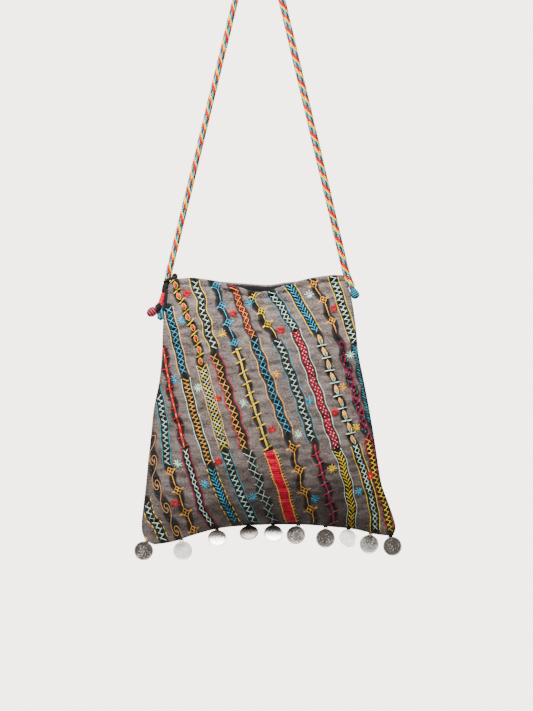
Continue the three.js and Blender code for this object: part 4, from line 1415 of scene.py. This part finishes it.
def lay_round(bundle, shape, thread, part, turn, sides, dye):
    """One thread on the face of a round shape, from its top to its foot."""
    start, end, profile, radius = shape
    first = np.array([start[0], 0.0, start[1]])
    run = np.array([end[0], 0.0, end[1]]) - first
    outline = np.interp(part, [level for _, level in profile], [wide for wide, _ in profile])
    off = np.maximum(outline * radius - thread, 0.2)
    aside = np.cross(REARWARD, unit(run))
    outward = aside * np.cos(turn)[:, None] + REARWARD * np.sin(turn)[:, None]
    centres = first + run * part[:, None] + outward * off[:, None]
    lay_strand(bundle, centres, outward, thread, sides=sides, dye=dye)


def wind(bundle, start, end, profile, radius, thread, pitch, dyes=(0,)):
    """Thread wound round and round a shape from its top to its foot, in one or more colours."""
    turns = math.dist(start, end) / (pitch * len(dyes))
    part = np.linspace(0.0, 1.0, int(16 * turns) + 8)
    for order, dye in enumerate(dyes):
        turn = 2 * np.pi * (turns * part + order / len(dyes))
        lay_round(bundle, (start, end, profile, radius), thread, part, turn, 5, dye)


def ridge(bundle, start, end, profile, radius, thread, count, twist, dyes):
    """Threads side by side along a shape from its top to its foot."""
    part = np.linspace(0.0, 1.0, 16)
    for order in range(count):
        turn = 2 * np.pi * (order / count + twist * part)
        lay_round(bundle, (start, end, profile, radius), thread, part, turn, 6, dyes[order % len(dyes)])


red_winding = thread_material("red winding thread", (200, 16, 34))
dark_red_winding = thread_material("dark red winding thread", (92, 8, 26))
# A rose thread, wound between the dark red turns of the left knob as a painted highlight on its ridges.
rose_highlight_winding = thread_material("rose highlight winding thread", (176, 62, 84))
teal_winding = thread_material("teal winding thread", (8, 70, 92))
# A lighter teal thread, laid among the teal ones on the right knob and the stub as a painted highlight.
teal_highlight_winding = thread_material("teal highlight winding thread", (46, 128, 150))
black_winding = thread_material("black winding thread", THREADS["black"])


def strap_end(name, bundle, materials, solid):
    piece = tie_bundle(name, bundle, materials)
    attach(piece, "root")
    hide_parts(solid)


WHIPPING_TOP = np.array([-100.7, 0.0, -359.0])
WHIPPING_RING = 4.1
# Three black thread ends hang behind the tail where the shade lies between the tail and the bag's edge: a
# painted shadow.
SHADOW_THREAD_ENDS = np.array([(-102.6, -2.6, -369.0), (-103.4, -3.0, -380.0), (-105.2, -2.6, -391.0)])
bound = new_bundle()
wind(bound, (-100.8, -358.6), (-104.4, -371.7), SWOLLEN, 3.9, 0.8, 1.3)
for rise, lean in ((0.0, 1.4), (0.9, 1.8)):
    turn = np.linspace(0, 2 * np.pi, 28)
    level = rise + lean * np.cos(turn) + 0.2 * np.sin(3 * turn)
    ring = np.column_stack([WHIPPING_RING * np.cos(turn), WHIPPING_RING * np.sin(turn), level])
    lay_strand(bound, WHIPPING_TOP + ring, UPWARD, 0.55)
# The black ends stand in for the shadow beside the tail.
for aside in (0.0, 0.9, 1.7):
    hanging = SHADOW_THREAD_ENDS + aside * RIGHTWARD
    hanging[-1] -= aside * UPWARD
    lay_strand(bound, smooth_line(hanging, 1.5)[0], REARWARD, 0.75)
strap_end("left_whipping", bound, [black_winding], "strap_whipping")

LOOP_PLACE = np.array([-92.6, 0.0, -354.4])
loop_yarn = new_bundle()
for ply in range(3):
    turn = np.linspace(-0.75 * np.pi, 1.35 * np.pi, 40)
    twist = 2 * np.pi * (ply / 3 + turn / 2.2)
    reach = 1.75 + 0.6 * np.cos(twist)
    loop = LOOP_PLACE + np.column_stack([reach * np.cos(turn), 0.62 * np.sin(twist), reach * np.sin(turn)])
    foot = LOOP_PLACE + np.array([-6.6, -3.4 + 0.7 * ply, -2.6 - 0.9 * ply])
    curve, _ = smooth_line([foot, LOOP_PLACE + np.array([-4.0, -2.2, -1.8]), *loop], 0.8)
    lay_strand(loop_yarn, curve, REARWARD, 1.2)
brace = [(-8.6, -2.0, -4.8), (-4.4, -2.6, -3.4), (-0.6, -1.2, -1.6)]
lay_strand(loop_yarn, smooth_line(LOOP_PLACE + np.array(brace), 0.8)[0], REARWARD, 0.9)
strap_end("left_corner_loop", loop_yarn, [black_winding], "strap_corner_loop")

tail = new_bundle()
wind(tail, (-104.7, -372.3), (-108.3, -385.8), FLARED, 3.3, 0.95, 1.6)
strap_end("left_tail", tail, [red_winding], "strap_tail")

band = new_bundle()
wind(band, (-108.6, -386.4), (-112.6, -390.3), ROD, 4.2, 0.75, 1.15)
wind(band, (-110.6, -389.4), (-109.8, -397.6), ROD, 2.5, 0.75, 1.15)
strap_end("left_tail_band", band, [black_winding], "strap_tail_band")

knob = new_bundle()
# The dark red knob is wound with rose turns between, as painted highlights.
wind(knob, (-112.8, -390.6), (-122.4, -396.8), BULB, 5.6, 0.85, 1.3, (0, 1))
strap_end("left_knob", knob, [dark_red_winding, rose_highlight_winding], "strap_knob_left")

stub = new_bundle()
# The stub mixes lighter teal threads in as painted highlights.
ridge(stub, (-105.7, -387.4), (-108.9, -402.2), BELL, 4.0, 0.85, 9, -0.35, (3, 0, 3, 2, 1, 3, 0, 3, 0))
wind(stub, (-105.2, -384.9), (-106.1, -389.6), ROD, 2.1, 0.7, 1.2, (3, 0))
stub_yarns = [teal_highlight_winding, *strap_yarns[:2], teal_winding]
strap_end("left_stub", stub, stub_yarns, "strap_stub_left")

teal_knob = new_bundle()
# The teal knob is wound with lighter teal turns between, as painted highlights.
wind(teal_knob, (101.7, -365.8), (107.4, -378.6), NECKED, 5.1, 0.65, 1.1, (0, 1))
ridge(teal_knob, (99.8, -361.2), (102.4, -366.6), ROD, 3.85, 0.85, 9, -0.2, (2, 2, 3, 1, 0))
knob_yarns = [teal_winding, teal_highlight_winding, *strap_yarns[:2]]
strap_end("right_knob", teal_knob, knob_yarns, "strap_knob_right")


# Studio: a pale round floor below the bag, one broad soft light above the front, weaker ones
# from the side and behind, and a white surround.
FLOOR_RADIUS = 0.6
FLOOR_LEVEL = -0.96
FLOOR_WHITE = (0.85, 0.84, 0.82, 1)
ROOM_WHITE = (1.0, 0.985, 0.96, 1)
BACKDROP_WHITE = (1.0, 0.94, 0.84, 1)
BACKDROP_STRENGTH = 4.8
LIGHTS = [
    ("key light", (-0.4, -1.2, 1.5), (0.0, 0.0, -0.4), 0.7, 300.0),
    ("fill light", (0.9, -2.6, 0.2), (0.0, 0.0, -0.5), 1.6, 16.0),
    ("rear light", (0.2, 1.1, 0.5), (0.0, 0.0, -0.4), 0.8, 26.0),
]  # name, place, aim, size and power
bpy.ops.mesh.primitive_circle_add(
    vertices=96, radius=FLOOR_RADIUS, fill_type="NGON", location=(0, 0, FLOOR_LEVEL)
)
floor = bpy.context.object
floor.name = "floor"
pale, pale_tree, pale_shader = new_material("pale floor")
feed(pale_tree, pale_shader, {"Base Color": FLOOR_WHITE, "Roughness": 0.8})
floor.data.materials.append(pale)

for name, place, aim, size, power in LIGHTS:
    bpy.ops.object.light_add(type="AREA", location=place)
    light = bpy.context.object
    light.name = name
    light.data.size = size
    light.data.energy = power
    light.rotation_euler = (Vector(aim) - Vector(place)).to_track_quat("-Z", "Y").to_euler()

world = bpy.data.worlds.new("white surround")
bpy.context.scene.world = world
world.use_nodes = True
sky = world.node_tree
room = sky.nodes["Background"]
sky_way = node(sky, "ShaderNodeTexCoord").outputs["Generated"]
overhead = node(sky, "ShaderNodeSeparateXYZ", {0: sky_way}).outputs[2]
feed(sky, room, {"Color": ROOM_WHITE, "Strength": ramp(sky, overhead, -0.2, 0.9, 0.3, 1.7)})
backdrop = node(sky, "ShaderNodeBackground", {"Color": BACKDROP_WHITE, "Strength": BACKDROP_STRENGTH})
seen = node(sky, "ShaderNodeLightPath").outputs["Is Camera Ray"]
surround = node(sky, "ShaderNodeMixShader", {0: seen, 1: room.outputs[0], 2: backdrop.outputs[0]})
feed(sky, sky.nodes["World Output"], {"Surface": surround.outputs[0]})
